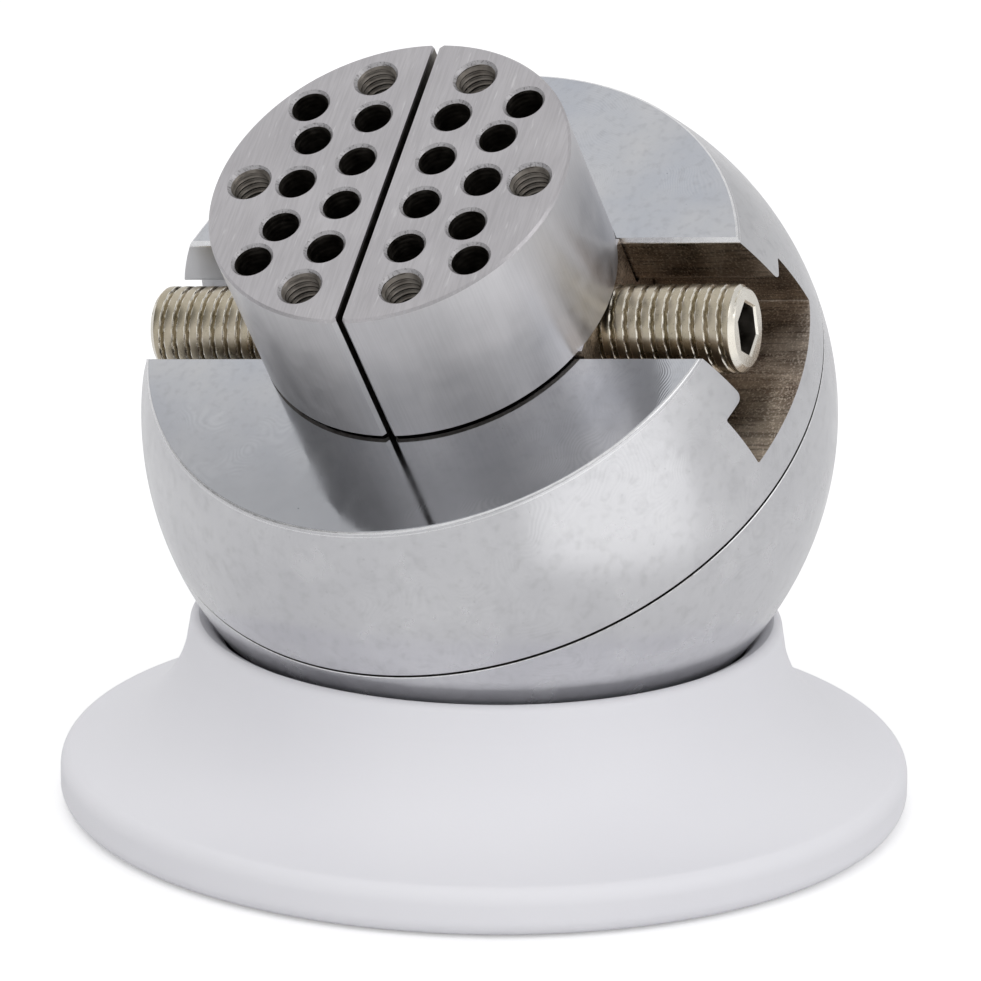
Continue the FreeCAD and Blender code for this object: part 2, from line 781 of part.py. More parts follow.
def make_jaw_right():
    """One jaw: half of a round head on a T-shaped foot, bored for the jaw screw."""
    split = jaw_split / 2
    disc = rod(jaw_radius, jaw_bottom_height, jaw_top_height)
    keep = block(Vector(split, -jaw_radius - overrun, jaw_bottom_height - overrun),
                 Vector(jaw_radius + overrun, jaw_radius + overrun, jaw_top_height + overrun))
    head = disc.common(keep)
    corners = [edge for edge in head.Edges
               if edge.BoundBox.XMax < split + jaw_edge_bevel and edge.BoundBox.YLength < jaw_edge_bevel]
    head = head.makeChamfer(jaw_split_bevel, corners)
    head = head.makeChamfer(jaw_edge_bevel, edges_at_height(head, jaw_top_height))
    head = head.makeChamfer(jaw_edge_bevel, edges_at_height(head, jaw_bottom_height))
    neck_width = slot_mouth_width / 2 - slide_clearance
    foot_width = slot_undercut_width / 2 - slide_clearance
    foot_bottom = slot_floor_height + slide_clearance
    foot_top = slot_ceiling_height - slide_clearance
    neck = block(Vector(jaw_foot_start, -neck_width, foot_bottom),
                 Vector(jaw_foot_reach, neck_width, jaw_bottom_height + jaw_edge_bevel))
    foot = block(Vector(jaw_foot_start, -foot_width, foot_bottom),
                 Vector(jaw_foot_reach, foot_width, foot_top))
    body = head.fuse([neck, foot]).removeSplitter()
    screw_bore = Part.makeCylinder(screw_radius + running_clearance, jaw_radius + 2 * overrun,
                                   Vector(-overrun, 0, screw_height), Vector(1, 0, 0))
    cutters = [screw_bore]
    cutters += [drilled_hole(pin_hole_radius, *place) for place in pin_hole_places()]
    cutters += [drilled_hole(tapped_hole_radius, *place) for place in tapped_hole_places()]
    return body.cut(cutters)


def make_jaw_left(jaw_right):
    """The other jaw is the first one turned half a turn about the axis of the ball."""
    jaw = jaw_right.copy()
    jaw.rotate(Vector(0, 0, 0), Vector(0, 0, 1), 180)
    return jaw


def make_parts():
    """Every piece by its name, in the frame of the base."""
    upper_inner, upper_outer, upper_cage, upper_balls = make_bearing(
        upper_bearing_radius, shoulder_bottom, upper_bearing_width,
        upper_bearing_ball_radius, upper_bearing_ball_count)
    lower_inner, lower_outer, lower_cage, lower_balls = make_bearing(
        lower_bearing_radius, lower_bearing_top, lower_bearing_width,
        lower_bearing_ball_radius, lower_bearing_ball_count)
    jaw_right = make_jaw_right()
    ball_pieces = {
        "lower_ball": make_lower_ball(),
        "bottom_plug": make_bottom_plug(),
        "drag_screw": make_drag_screw(),
        "drag_pad": make_drag_pad(),
        "upper_bearing_outer_ring": upper_outer,
        "lower_bearing_outer_ring": lower_outer,
        "upper_bearing_cage": upper_cage,
        "upper_bearing_balls": upper_balls,
        "lower_bearing_cage": lower_cage,
        "lower_bearing_balls": lower_balls,
        "upper_ball": make_upper_ball(),
        "spindle": make_spindle(),
        "spindle_screws": make_spindle_screws(),
        "upper_bearing_inner_ring": upper_inner,
        "lower_bearing_inner_ring": lower_inner,
        "bearing_spacer": make_bearing_spacer(),
        "lock_washer": make_lock_washer(),
        "lock_nut": make_lock_nut(),
        "screw_yoke": make_screw_yoke(),
        "yoke_screws": make_yoke_screws(),
        "jaw_screw": make_lead_screw(),
        "jaw_right": jaw_right,
        "jaw_left": make_jaw_left(jaw_right),
    }
    parts = {"base": make_base(), "seat_ring": make_seat_ring()}
    for name, shape in ball_pieces.items():
        parts[name] = in_ball(shape)
    return parts


def export_parts():
    """One STEP file for each piece."""
    os.makedirs("parts", exist_ok=True)
    for name, shape in make_parts().items():
        print(name, "solids", len(shape.Solids), "valid", shape.isValid(), "volume", round(shape.Volume, 2))
        shape.exportStep("parts/" + name + ".step")


export_parts()
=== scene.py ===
import json
import math

import bmesh
import bpy
import numpy as np
from mathutils import Matrix, Vector


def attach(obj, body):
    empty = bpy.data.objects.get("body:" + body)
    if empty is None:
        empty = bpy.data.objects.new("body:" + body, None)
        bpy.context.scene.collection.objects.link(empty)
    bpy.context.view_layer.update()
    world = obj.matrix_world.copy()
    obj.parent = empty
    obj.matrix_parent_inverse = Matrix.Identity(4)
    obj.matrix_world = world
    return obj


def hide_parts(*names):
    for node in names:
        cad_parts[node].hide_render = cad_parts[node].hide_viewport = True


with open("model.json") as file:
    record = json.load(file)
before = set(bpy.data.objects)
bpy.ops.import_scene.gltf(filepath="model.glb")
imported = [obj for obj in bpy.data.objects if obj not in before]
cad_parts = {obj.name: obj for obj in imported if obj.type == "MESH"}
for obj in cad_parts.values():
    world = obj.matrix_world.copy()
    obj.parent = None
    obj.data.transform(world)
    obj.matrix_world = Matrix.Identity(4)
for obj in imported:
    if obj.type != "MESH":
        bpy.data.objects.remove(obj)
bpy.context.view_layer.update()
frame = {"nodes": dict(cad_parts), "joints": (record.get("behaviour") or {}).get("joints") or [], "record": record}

# A ball vise: a steel ball in a pale ring base, with two half-round jaws on its flat top.
# Lengths are in millimetres and turn into metres at the end. Those of the stage are in metres.
MM = 0.001
joints = {joint["name"]: joint for joint in frame["joints"]}

# Ball
ball_radius = 50.0
centre_height = joints["head_turn"]["pos_m"][2] / MM
parting_height = 1.2
parting_gap = 0.45
parting_edge = 0.1
flat_height = 24.6
flat_rim_round = 0.65
# The middle of the flat's rounded rim: how far in and how far down, as shares of the rounding
flat_rim_middle = (0.42, 0.16)
# Places across the flat where painted shade, darkening its reflection, begins and where it is full
flat_painted_shade_start = -8.0
flat_painted_shade_full = -36.0

# T-shaped slot
slot_mouth_width = 21.8
slot_lip_depth = 8.5
slot_ledge_width = 4.4
slot_lip_round = 1.2
slot_mouth_bevel = 0.55
slot_mouth_round = 0.4
# How deep down the slot's mouth the bevels' painted highlight reaches
slot_highlight_depth = 0.77
slot_corner_round = 0.35
# Places along the slot: it is clean up to the first and oily from the second on
slot_clean_end = (-36.0, -29.0)

# Jaws
jaw_radius = 26.4
jaw_head_height = 24.1
jaw_lift = 0.35
jaw_split = 0.9
jaw_split_bevel = 0.5
jaw_split_edge = 0.12
jaw_edge_bevel = 0.355
jaw_neck_round = 0.84
jaw_foot_inset = 1.7
jaw_foot_start = 5.3
slide_clearance = 0.3

# Holes in the top of each jaw
hole_depth = 14.0
hole_bevel = 0.4
pin_hole_radius = 2.7
pin_hole_tip_radius = 0.05
pin_mark_pitch = 0.8
pin_mark_depth = 0.04
# One ring that the reamer left, as shares of the pitch and of the depth
pin_mark_outline = ((0.25, 1), (0.6, 1), (0.75, 0), (1.0, 0))
tapped_hole_radius = 2.9
tapped_groove_radius = 3.0
tapped_pitch = 1.0
tapped_thread_depth = 0.5
near_row_offset = 6.05
middle_row_offset = 14.05
row_pitch = 8.26
outer_pair_circle = 22.0
outer_pair_angle = 42.0
tapped_circle = 21.2
tapped_angle = 69.0

# Jaw screw
screw_depth = 6.4
screw_radius = 6.25
screw_half_length = 44.8
screw_pitch = 2.0
screw_end_bevel = 0.8
screw_neck_radius = 4.0
screw_neck_half = 4.6
screw_bore_clearance = 0.1
thread_depth = 0.62
thread_crown = 0.1
thread_groove_share = 0.36
# With a power of 1 the groove is a plain V, and with less it is fuller
thread_groove_power = 0.8
thread_worn_share = 0.05

# Hexagon socket in each end of the jaw screw
socket_across = 6.8
socket_depth = 7.0
socket_bevel = 0.3
socket_point_depth = 1.6
socket_point_share = 0.4
# Painted shade inside this radius, between these distances from the screw's end
socket_shade_radius = 4.08
socket_shade_start = 0.5
socket_shade_end = 12.0

# Spindle side of the lower ball
slot_floor_thickness = 5.675
recess_radius = 24.6
shoulder_bottom = -3.575
upper_seat_radius = 21.02
upper_bearing_bottom = -15.575
web_radius = 16.6
lower_bearing_top = -30.0
lower_seat_radius = 18.52
lower_bearing_bottom = -39.0
plug_radius = 19.0
drag_bore_radius = 2.55
drag_mouth_bevel = 0.4
pilot_bore_radius = 5.02
pilot_bore_depth = 2.05
spindle_screw_circle = 18.0
spindle_screw_bore = 2.55
yoke_screw_aside = 7.5
yoke_screw_bore = 1.55
floor_bore_depth = 4.975

# Ring base and seat ring
base_rim_radius = 61.6
base_rim_height = 7.6
base_rim_round = 3.0
base_rim_round_angle = 60.0
base_foot_inset = 2.0
base_foot_lift = 2.5
base_flare_sag = 3.4
base_mouth_angle = 37.9
base_mouth_gap = 0.45
base_collar_wall = 3.1
base_collar_spread = 0.6
base_collar_straight = 5.0
base_collar_round = 1.3
base_lip_slope = 0.9
base_lip_thickness = 2.0
base_lip_round = 0.35
base_ledge_width = 1.8
base_bore_bevel = 1.0
seat_ring_thickness = 1.8
seat_ring_height = 5.8
seat_ring_round = 0.3
seat_gap = 0.3

# Places that follow from the sizes above
upper_ball_bottom = parting_height + parting_gap / 2
lower_ball_top = parting_height - parting_gap / 2
slot_ceiling = flat_height - slot_lip_depth
slot_floor = upper_ball_bottom + slot_floor_thickness
slot_undercut_width = slot_mouth_width + 2 * slot_ledge_width
screw_height = flat_height - screw_depth
jaw_bottom = flat_height + jaw_lift
jaw_top = jaw_bottom + jaw_head_height
base_mouth_radius = ball_radius + base_mouth_gap
base_collar_drop = base_mouth_radius * math.sin(math.radians(base_mouth_angle))
base_collar_bore = base_mouth_radius * math.cos(math.radians(base_mouth_angle))
base_mouth_height = centre_height - base_collar_drop
base_collar_height = base_mouth_height + base_lip_slope
base_collar_radius = base_collar_bore + base_collar_wall
base_flare_top_radius = base_collar_radius + base_collar_spread
base_flare_top = base_collar_height - base_collar_straight
drag_height = (upper_bearing_bottom + lower_bearing_top) / 2

# How far a cutting shape runs past what it cuts
overrun = 2.0

# Fineness of the round meshes
ball_segments = 320
base_segments = 320
jaw_segments = 240
seat_segments = 160
screw_segments = 96
hole_segments = 48
rows_per_turn = 18
upper_ball_rows = 44
lower_ball_rows = 84
flare_rows = 40
arc_rows = 10
foot_rows = 8
corner_rows = 6
mouth_rows = 4

# Points nearer than this become one
weld_distance = 1e-5
# How near the middle of a face is to a plane, or to the ball, to count as on it
near_plane = 0.01
near_ball = 0.1
# How much of a face's normal points straight out, and up on a hole's bevel and on an outer bevel
straight = 0.99
hole_bevel_rise = 0.4
edge_bevel_rise = 0.3
# Faces that get exact normals: how straight a flat or a round one is, and how near to the round
exact_flat = 0.99999
exact_round = 0.995
exact_reach_share = 0.01

# Camera, fitted to the photograph, in metres and degrees, with its lens and sensor in millimetres
camera_lens = 275.23
camera_sensor = 36.0
camera_pitch = 17.0
camera_roll = 0.9
camera_place = (0.0003, -1.0334, 0.3619)

# Floor, in metres, and the light of its own that it shows to the camera and to metal
floor_reach = 3.0
floor_drop = 0.0002
floor_glow = 0.34
floor_glow_in_metal = 0.04
# Metal also sees a bright sector of the floor: its direction in degrees, its half width as shares of the
# distance, full up to the first and gone at the second, and the millimetres between which it begins
floor_window_glow = 0.36
floor_window_azimuth = 39.0
floor_window_width_shares = (0.4, 0.55)
floor_window_start = (100.0, 135.0)

# Studio that the metal sees. Each patch: azimuth, elevation, inner and outer angle in degrees, and how
# much brighter it is
studio_level = 0.9
studio_tint = (1.0, 1.0, 1.005, 1.0)
studio_patches = (
    (40.0, 4.0, 16.0, 27.0, 0.3),
    (-4.0, 20.0, 8.0, 26.0, -0.3),
    (26.0, 33.0, 4.0, 13.0, -0.35),
    (46.0, 48.0, 7.0, 18.0, 0.9),
    (80.0, 72.0, 12.0, 28.0, -0.35),
    (-82.0, 26.0, 16.0, 34.0, -0.6),
    (122.0, 6.0, 20.0, 58.0, -0.2),
)

# Lamps: name, place and size in metres, power in watts, and tint
lamp_aim = (0, 0, 0.05)
lamps = (
    ("key_light", (-0.2, -0.5, 1.25), (0.9, 0.9), 3.0, (1.0, 0.995, 0.985)),
    ("front_fill", (0.1, -1.15, 0.4), (0.8, 0.5), 0.55, (1.0, 1.0, 1.0)),
)


def ball_frame():
    """The ball's own frame at rest: +X along the jaw screw and +Z along the axis of the upper ball."""
    along = Vector(joints["right_jaw_slide"]["axis"]).normalized()
    up = Vector(joints["head_turn"]["axis"]).normalized()
    across = up.cross(along).normalized()
    turn = Matrix((along, across, up)).transposed().to_4x4()
    return Matrix.Translation(Vector(joints["head_turn"]["pos_m"])) @ turn


BALL_FRAME = ball_frame()
BASE_FRAME = Matrix.Identity(4)


# Outlines and meshes

def on_circle(radius, angle, centre=(0, 0)):
    """The point of a circle at an angle in radians."""
    return (centre[0] + radius * math.cos(angle), centre[1] + radius * math.sin(angle))


def arc_through(first, middle, last, steps):
    """Points on the arc that starts at first, passes through middle and ends at last."""
    a, b, c = (np.array(point, float) for point in (first, middle, last))
    centre = np.linalg.solve([2 * (b - a), 2 * (c - a)], [b @ b - a @ a, c @ c - a @ a])
    radius = np.linalg.norm(a - centre)
    start, way, end = (math.atan2(*(point - centre)[::-1]) for point in (a, b, c))
    full = 2 * math.pi
    forward = (way - start) % full < (end - start) % full
    sweep = (end - start) % full if forward else -((start - end) % full)
    return [on_circle(radius, start + sweep * step / steps, centre) for step in range(steps + 1)]


def sphere_reach(radius, height):
    """How far a sphere's outline is from its axis at a height above its centre."""
    return math.sqrt(radius ** 2 - height ** 2)


def sphere_arc(radius, start_height, end_height, steps, centre=0.0):
    """Points along a sphere's outline from one height to another, evenly spaced."""
    start = math.asin((start_height - centre) / radius)
    end = math.asin((end_height - centre) / radius)
    angles = [start + (end - start) * step / steps for step in range(steps + 1)]
    return [on_circle(radius, angle, (0, centre)) for angle in angles]


def mirrored_outline(right):
    """A closed outline, left half included, from the right half's (across, up, rounding radius)."""
    corners = right + [(-across, up, rounding) for across, up, rounding in reversed(right)]
    points = []
    for index, (across, up, rounding) in enumerate(corners):
        here = Vector((across, up))
        if rounding == 0:
            points.append((across, up))
            continue
        back = (Vector(corners[index - 1][:2]) - here).normalized()
        ahead = (Vector(corners[(index + 1) % len(corners)][:2]) - here).normalized()
        half_turn = back.angle(ahead) / 2
        setback = rounding / math.tan(half_turn)
        bisector = (back + ahead).normalized()
        middle = here + bisector * (rounding / math.sin(half_turn) - rounding)
        points += arc_through(here + back * setback, middle, here + ahead * setback, corner_rows)
    return points


def stacked_mesh(name, loops, closed=False):
    """A solid through loops of points that each have the same count, its normals facing out.

    It has a face on its first and last loop, or is closed to a ring instead.
    """
    rows = len(loops)
    count = len(loops[0])
    faces = []
    for row in range(rows if closed else rows - 1):
        below = row * count
        above = (row + 1) % rows * count
        for step in range(count):
            beside = (step + 1) % count
            faces.append((below + step, below + beside, above + beside, above + step))
    if not closed:
        faces += [tuple(range(count)), tuple(range((rows - 1) * count, rows * count))]
    mesh = bpy.data.meshes.new(name)
    mesh.from_pydata([point for loop in loops for point in loop], [], faces)
    work = bmesh.new()
    work.from_mesh(mesh)
    bmesh.ops.remove_doubles(work, verts=work.verts, dist=weld_distance)
    bmesh.ops.recalc_face_normals(work, faces=work.faces)
    work.to_mesh(mesh)
    work.free()
    return mesh


def turned_mesh(name, outline, segments, closed=True):
    """A solid turned about Z from points of (radius, height)."""
    angles = [2 * math.pi * step / segments for step in range(segments)]
    loops = [[(*on_circle(radius, angle), height) for angle in angles] for radius, height in outline]
    return stacked_mesh(name, loops, closed)


def drawn_mesh(name, outline, start, end):
    """A prism between two places along X, from an outline of (across, up)."""
    return stacked_mesh(name, [[(along, across, up) for across, up in outline] for along in (start, end)])


def new_object(name, data):
    """An object in the scene."""
    made = bpy.data.objects.new(name, data)
    bpy.context.scene.collection.objects.link(made)
    return made


def combined(mesh, cutters, operation="DIFFERENCE"):
    """A mesh with other closed meshes cut from it or joined to it."""
    body = new_object("scratch", mesh)
    tools = [new_object("scratch", cutter) for cutter in cutters]
    for tool in tools:
        step = body.modifiers.new("step", "BOOLEAN")
        step.solver = "MANIFOLD"
        step.operation = operation
        step.object = tool
    shapes = bpy.context.evaluated_depsgraph_get()
    result = bpy.data.meshes.new_from_object(body.evaluated_get(shapes))
    for scratch in tools + [body]:
        old = scratch.data
        bpy.data.objects.remove(scratch)
        bpy.data.meshes.remove(old)
    return result


def read_array(items, key, width, kind=float):
    """One property of many mesh items as an array."""
    values = np.empty(len(items) * width, kind)
    items.foreach_get(key, values)
    return values.reshape(-1, width) if width > 1 else values


def away_from(places, point, axis):
    """The directions and distances of places from a point, or from an axis through it."""
    away = places - np.array(point)
    if axis is not None:
        away = away - np.outer(away @ np.array(axis), np.array(axis))
    reach = np.linalg.norm(away, axis=1)
    return away / np.maximum(reach, weld_distance)[:, None], reach


def shade(mesh, sharp_angle, rounds=()):
    """Smooth shading with sharp edges. Flat faces and those on a round get exact normals.

    A round is (point, axis, radius): a rod about an axis, or a ball where the axis is None.
    """
    mesh.polygons.foreach_set("use_smooth", [True] * len(mesh.polygons))
    work = bmesh.new()
    work.from_mesh(mesh)
    limit = math.radians(sharp_angle)
    for edge in work.edges:
        edge.smooth = len(edge.link_faces) == 2 and edge.calc_face_angle(0) < limit
    work.to_mesh(mesh)
    work.free()

    corners = read_array(mesh.vertices, "co", 3)[read_array(mesh.loops, "vertex_index", 1, int)]
    per_face = read_array(mesh.polygons, "loop_total", 1, int)
    centres = read_array(mesh.polygons, "center", 3)
    normals = read_array(mesh.polygons, "normal", 3)
    flat = np.abs(normals).max(axis=1) > exact_flat
    chosen = np.repeat(np.where(flat[:, None], normals, 0.0), per_face, axis=0)
    for point, axis, radius in rounds:
        outward, reach = away_from(centres, point, axis)
        facing = (outward * normals).sum(axis=1)
        on_round = (np.abs(reach - radius) < exact_reach_share * radius) & (np.abs(facing) > exact_round)
        picked = np.repeat(on_round, per_face)
        side = np.repeat(np.sign(facing), per_face)
        chosen[picked] = away_from(corners, point, axis)[0][picked] * side[picked][:, None]
    mesh.normals_split_custom_set(chosen.tolist())


def finished_piece(name, mesh, materials, pick, place, body, replaced):
    """A piece made of a mesh in millimetres, set in a frame. A call of pick gives a face's material."""
    mesh.materials.clear()
    for material in materials:
        mesh.materials.append(material)
    for polygon in mesh.polygons:
        polygon.material_index = materials.index(pick(polygon))
    mesh.transform(place @ Matrix.Scale(MM, 4))
    mesh.name = name
    piece = new_object(name, mesh)
    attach(piece, body)
    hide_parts(replaced)
    return piece


# Materials

class Nodes:
    """The nodes of a material or a world, built step by step."""

    def __init__(self, tree):
        self.tree = tree

    def connect(self, value, socket):
        """Links a socket to another one, or sets it to a plain value."""
        if isinstance(value, bpy.types.NodeSocket):
            self.tree.links.new(value, socket)
        else:
            socket.default_value = value

    def add(self, kind, settings=None, inputs=None):
        """A shader node with its settings, and its inputs as values or links."""
        node = self.tree.nodes.new("ShaderNode" + kind)
        for key, value in (settings or {}).items():
            setattr(node, key, value)
        for key, value in (inputs or {}).items():
            self.connect(value, node.inputs[key])
        return node

    def maths(self, operation, first, second=0.0):
        """A sum or other step with one or two numbers."""
        return self.add("Math", {"operation": operation}, {0: first, 1: second}).outputs[0]

    def vectors(self, operation, first, second, output="Vector"):
        """A sum or other step with two vectors."""
        node = self.add("VectorMath", {"operation": operation}, {0: first, 1: second})
        return node.outputs[output]

    def spread(self, value, low, high, start=0.3, end=0.7, kind="LINEAR"):
        """A value from start to end turned into one from low to high."""
        return self.add("MapRange", {"interpolation_type": kind}, {
            "Value": value, "From Min": start, "From Max": end, "To Min": low, "To Max": high}).outputs[0]


class Look(Nodes):
    """A material with its pattern in millimetres in a frame."""

    def __init__(self, name, pattern_frame=BALL_FRAME):
        self.material = bpy.data.materials.new(name)
        self.material.use_nodes = True
        super().__init__(self.material.node_tree)
        self.shader = self.tree.nodes["Principled BSDF"]
        place = self.add("TexCoord").outputs["Object"]
        self.place = self.add("Mapping", {"vector_type": "TEXTURE"}, {
            "Vector": place, "Location": pattern_frame.to_translation(),
            "Rotation": pattern_frame.to_euler(), "Scale": (MM, MM, MM)}).outputs[0]

    def along(self, axis):
        """The place along one axis."""
        return self.add("SeparateXYZ", {}, {"Vector": self.place}).outputs[axis]

    def pattern_place(self, size, stretch, seed):
        """The place in steps of size, stretched along the axes and moved by a seed."""
        scaled = self.vectors("MULTIPLY", self.place, tuple(share / size for share in stretch))
        return self.vectors("ADD", scaled, (seed, seed, seed))

    def noise(self, size, detail=3.0, stretch=(1, 1, 1), seed=0.0):
        """Noise whose blotches are about size across."""
        return self.add("TexNoise", {}, {
            "Vector": self.pattern_place(size, stretch, seed), "Scale": 1.0, "Detail": detail,
            "Roughness": 0.5, "Distortion": 0.0}).outputs["Fac"]

    def rings(self, size, distortion, seed=0.0):
        """Rings like the arcs that a polishing wheel leaves."""
        return self.add("TexWave", {"wave_type": "RINGS", "rings_direction": "SPHERICAL"}, {
            "Vector": self.pattern_place(size, (1, 1, 1), seed), "Scale": 1.0, "Distortion": distortion,
            "Detail": 1.0, "Detail Scale": 0.12, "Detail Roughness": 0.4}).outputs["Fac"]

    def prints(self, size, twist, seed=0.0):
        """Whorls like fingerprints, in patches about size across."""
        patches = self.spread(self.noise(size, 2.0, seed=seed + 2.0), 0.0, 1.0, 0.48, 0.6)
        return self.maths("MULTIPLY", self.rings(1.0, twist, seed=seed), patches)

    def blend(self, share, first, second):
        """A colour between two colours."""
        node = self.add("Mix", {"data_type": "RGBA"}, {"Factor": share})
        for key, colour in (("A", first), ("B", second)):
            socket = [s for s in node.inputs if s.name == key and s.type == "RGBA"][0]
            self.connect((*colour, 1.0) if isinstance(colour, tuple) else colour, socket)
        return [s for s in node.outputs if s.type == "RGBA"][0]

    def two_tone(self, value, first, second):
        """One colour where a pattern is low and another where it is high."""
        return self.blend(self.spread(value, 0.0, 1.0), first, second)

    def mottled(self, colour, size, dark, seed=0.0):
        """A colour with soft darker blotches about size across."""
        return self.blend(self.spread(self.noise(size, 4.0, seed=seed), 0.0, 0.32, 0.5, 0.7), colour, dark)

    def relief(self, *layers):
        """Relief from layers of (pattern, height), each on top of those before."""
        below = {}
        for pattern, height in layers:
            node = self.add("Bump", {}, {
                "Height": pattern, "Distance": height * MM, "Strength": 1.0, **below})
            below = {"Normal": node.outputs["Normal"]}
        return below["Normal"]

    def streaked_along(self, direction):
        """Makes the gloss of turned or ground metal spread along a direction of the object."""
        settings = {"vector_type": "VECTOR", "convert_from": "OBJECT", "convert_to": "WORLD"}
        turned = self.add("VectorTransform", settings, {"Vector": direction})
        self.connect(turned.outputs[0], self.shader.inputs["Tangent"])

    def finish(self, colour, roughness, relief=None, metallic=1.0, anisotropic=0.0):
        """The material, with its shader set."""
        values = {"Base Color": colour, "Roughness": roughness, "Metallic": metallic,
                  "Anisotropic": anisotropic}
        if relief is not None:
            values["Normal"] = relief
        for key, value in values.items():
            self.connect(value, self.shader.inputs[key])
        return self.material


def polished_ball():
    """Light polished steel with smudges, fine flecks and faint fingerprints."""
    look = Look("ball_polished_steel")
    clouds = look.noise(26.0)
    smudges = look.noise(7.0, 5.0, seed=11.0)
    plain = look.two_tone(clouds, (0.565, 0.565, 0.585), (0.645, 0.645, 0.66))
    flecks = look.noise(0.45, 2.0, seed=10.0)
    spotted = look.blend(look.spread(flecks, 0.45, 0.0, 0.24, 0.3), plain, (0.3, 0.3, 0.31))
    mottled = look.mottled(spotted, 1.7, (0.44, 0.44, 0.45), seed=13.0)
    smudged = look.blend(look.spread(smudges, 0.0, 0.3, 0.5, 0.7), mottled, (0.74, 0.74, 0.75))
    prints = look.prints(13.0, 78.0, seed=3.0)
    colour = look.blend(look.maths("MULTIPLY", prints, 0.13), smudged, (0.8, 0.8, 0.81))
    relief = look.relief((prints, 0.0045), (look.noise(0.5, seed=7.0), 0.0018))
    return look.finish(colour, look.spread(smudges, 0.15, 0.3), relief)


def polished_flat():
    """The mirror-like flat top, with painted shade that darkens its reflection across one side, a few pits and
    faint fingerprints.
    """
    look = Look("flat_polished_steel")
    clouds = look.noise(14.0, 4.0, seed=2.0)
    smears = look.noise(3.0, 5.0, (1.0, 0.3, 1.0), seed=8.0)
    clean = look.two_tone(clouds, (0.47, 0.49, 0.535), (0.57, 0.57, 0.58))
    # Darker tones towards one side of the flat: painted shade in its reflection
    shaded_tones = look.two_tone(clouds, (0.35, 0.358, 0.38), (0.41, 0.418, 0.435))
    painted_shade = look.spread(look.along("Y"), 1.0, 0.0, flat_painted_shade_full, flat_painted_shade_start)
    mottled = look.mottled(look.blend(painted_shade, clean, shaded_tones), 1.3, (0.36, 0.365, 0.38), seed=16.0)
    pits = look.noise(0.5, 1.0, seed=18.0)
    spotted = look.blend(look.spread(pits, 0.8, 0.0, 0.16, 0.2), mottled, (0.06, 0.06, 0.06))
    prints = look.prints(10.0, 64.0, seed=20.0)
    colour = look.blend(look.maths("MULTIPLY", prints, 0.12), spotted, (0.74, 0.75, 0.77))
    waves = look.noise(9.0, 2.0, seed=4.0)
    relief = look.relief((waves, 0.02), (prints, 0.002), (look.noise(0.4, seed=6.0), 0.0008))
    return look.finish(colour, look.spread(smears, 0.06, 0.16, 0.35, 0.7), relief)


def milled_slot():
    """The oily milled inside of the slot, brown, with cutter marks."""
    look = Look("slot_milled_steel")
    blotches = look.noise(6.0, 5.0, seed=1.0)
    fine = look.noise(0.3, 4.0, seed=9.0)
    marks = look.noise(0.45, 2.0, (0.05, 1.0, 1.0), seed=12.0)
    plain = look.two_tone(blotches, (0.25, 0.195, 0.16), (0.66, 0.56, 0.46))
    lined = look.blend(look.spread(marks, 0.55, 0.0, 0.36, 0.52), plain, (0.1, 0.08, 0.065))
    speckled = look.blend(look.spread(fine, 0.0, 0.75, 0.5, 0.66), lined, (0.88, 0.79, 0.69))
    clean = look.spread(look.along("X"), 1.0, 0.0, *slot_clean_end)
    colour = look.blend(clean, speckled, (0.6, 0.6, 0.61))
    relief = look.relief((marks, 0.02), (fine, 0.02))
    return look.finish(colour, look.spread(blotches, 0.28, 0.46), relief)


def edge_steel_painted_highlight():
    """Narrow bevels, dented by handling, coloured brighter than the steel beside them as a painted highlight."""
    look = Look("edge_painted_highlight_steel")
    dents = look.noise(0.9, 4.0, seed=14.0)
    colour = look.two_tone(dents, (0.7, 0.7, 0.71), (0.84, 0.84, 0.85))
    return look.finish(colour, look.spread(dents, 0.2, 0.34), look.relief((dents, 0.006)))


def ground_jaw_top():
    """The satin top of a jaw, with short fine scratches all one way."""
    look = Look("jaw_top_ground_steel")
    clouds = look.noise(12.0, seed=21.0)
    hair = look.noise(0.26, stretch=(1.0, 0.05, 1.0), seed=22.0)
    nicks = look.noise(0.5, 2.0, (1.0, 0.12, 1.0), seed=24.0)
    plain = look.two_tone(clouds, (0.48, 0.465, 0.48), (0.54, 0.525, 0.54))
    lined = look.blend(look.spread(hair, 0.26, 0.0, 0.36, 0.6), plain, (0.32, 0.31, 0.318))
    colour = look.blend(look.spread(nicks, 0.0, 0.5, 0.64, 0.74), lined, (0.68, 0.67, 0.68))
    roughness = look.spread(look.noise(2.5, 4.0, (1.0, 0.25, 1.0), seed=23.0), 0.3, 0.4)
    return look.finish(colour, roughness, look.relief((hair, 0.009)))


def turned_jaw_side():
    """The round side of a jaw, with fine lines from the lathe and faint arcs across them."""
    look = Look("jaw_side_turned_steel")
    clouds = look.noise(10.0, seed=31.0)
    lines = look.noise(0.3, 2.0, (1.0, 1.0, 0.02), seed=32.0)
    patches = look.spread(look.noise(9.0, 2.0, seed=33.0), 0.0, 1.0, 0.46, 0.6)
    arcs = look.maths("MULTIPLY", look.rings(1.3, 3.0, seed=17.0), patches)
    plain = look.two_tone(clouds, (0.6, 0.595, 0.61), (0.68, 0.67, 0.685))
    colour = look.blend(look.spread(lines, 0.13, 0.0, 0.36, 0.6), plain, (0.42, 0.415, 0.42))
    roughness = look.spread(look.noise(3.0, 4.0, seed=34.0), 0.3, 0.38)
    look.streaked_along(BALL_FRAME.to_3x3().col[2])
    return look.finish(colour, roughness, look.relief((lines, 0.004), (arcs, 0.004)), anisotropic=0.75)


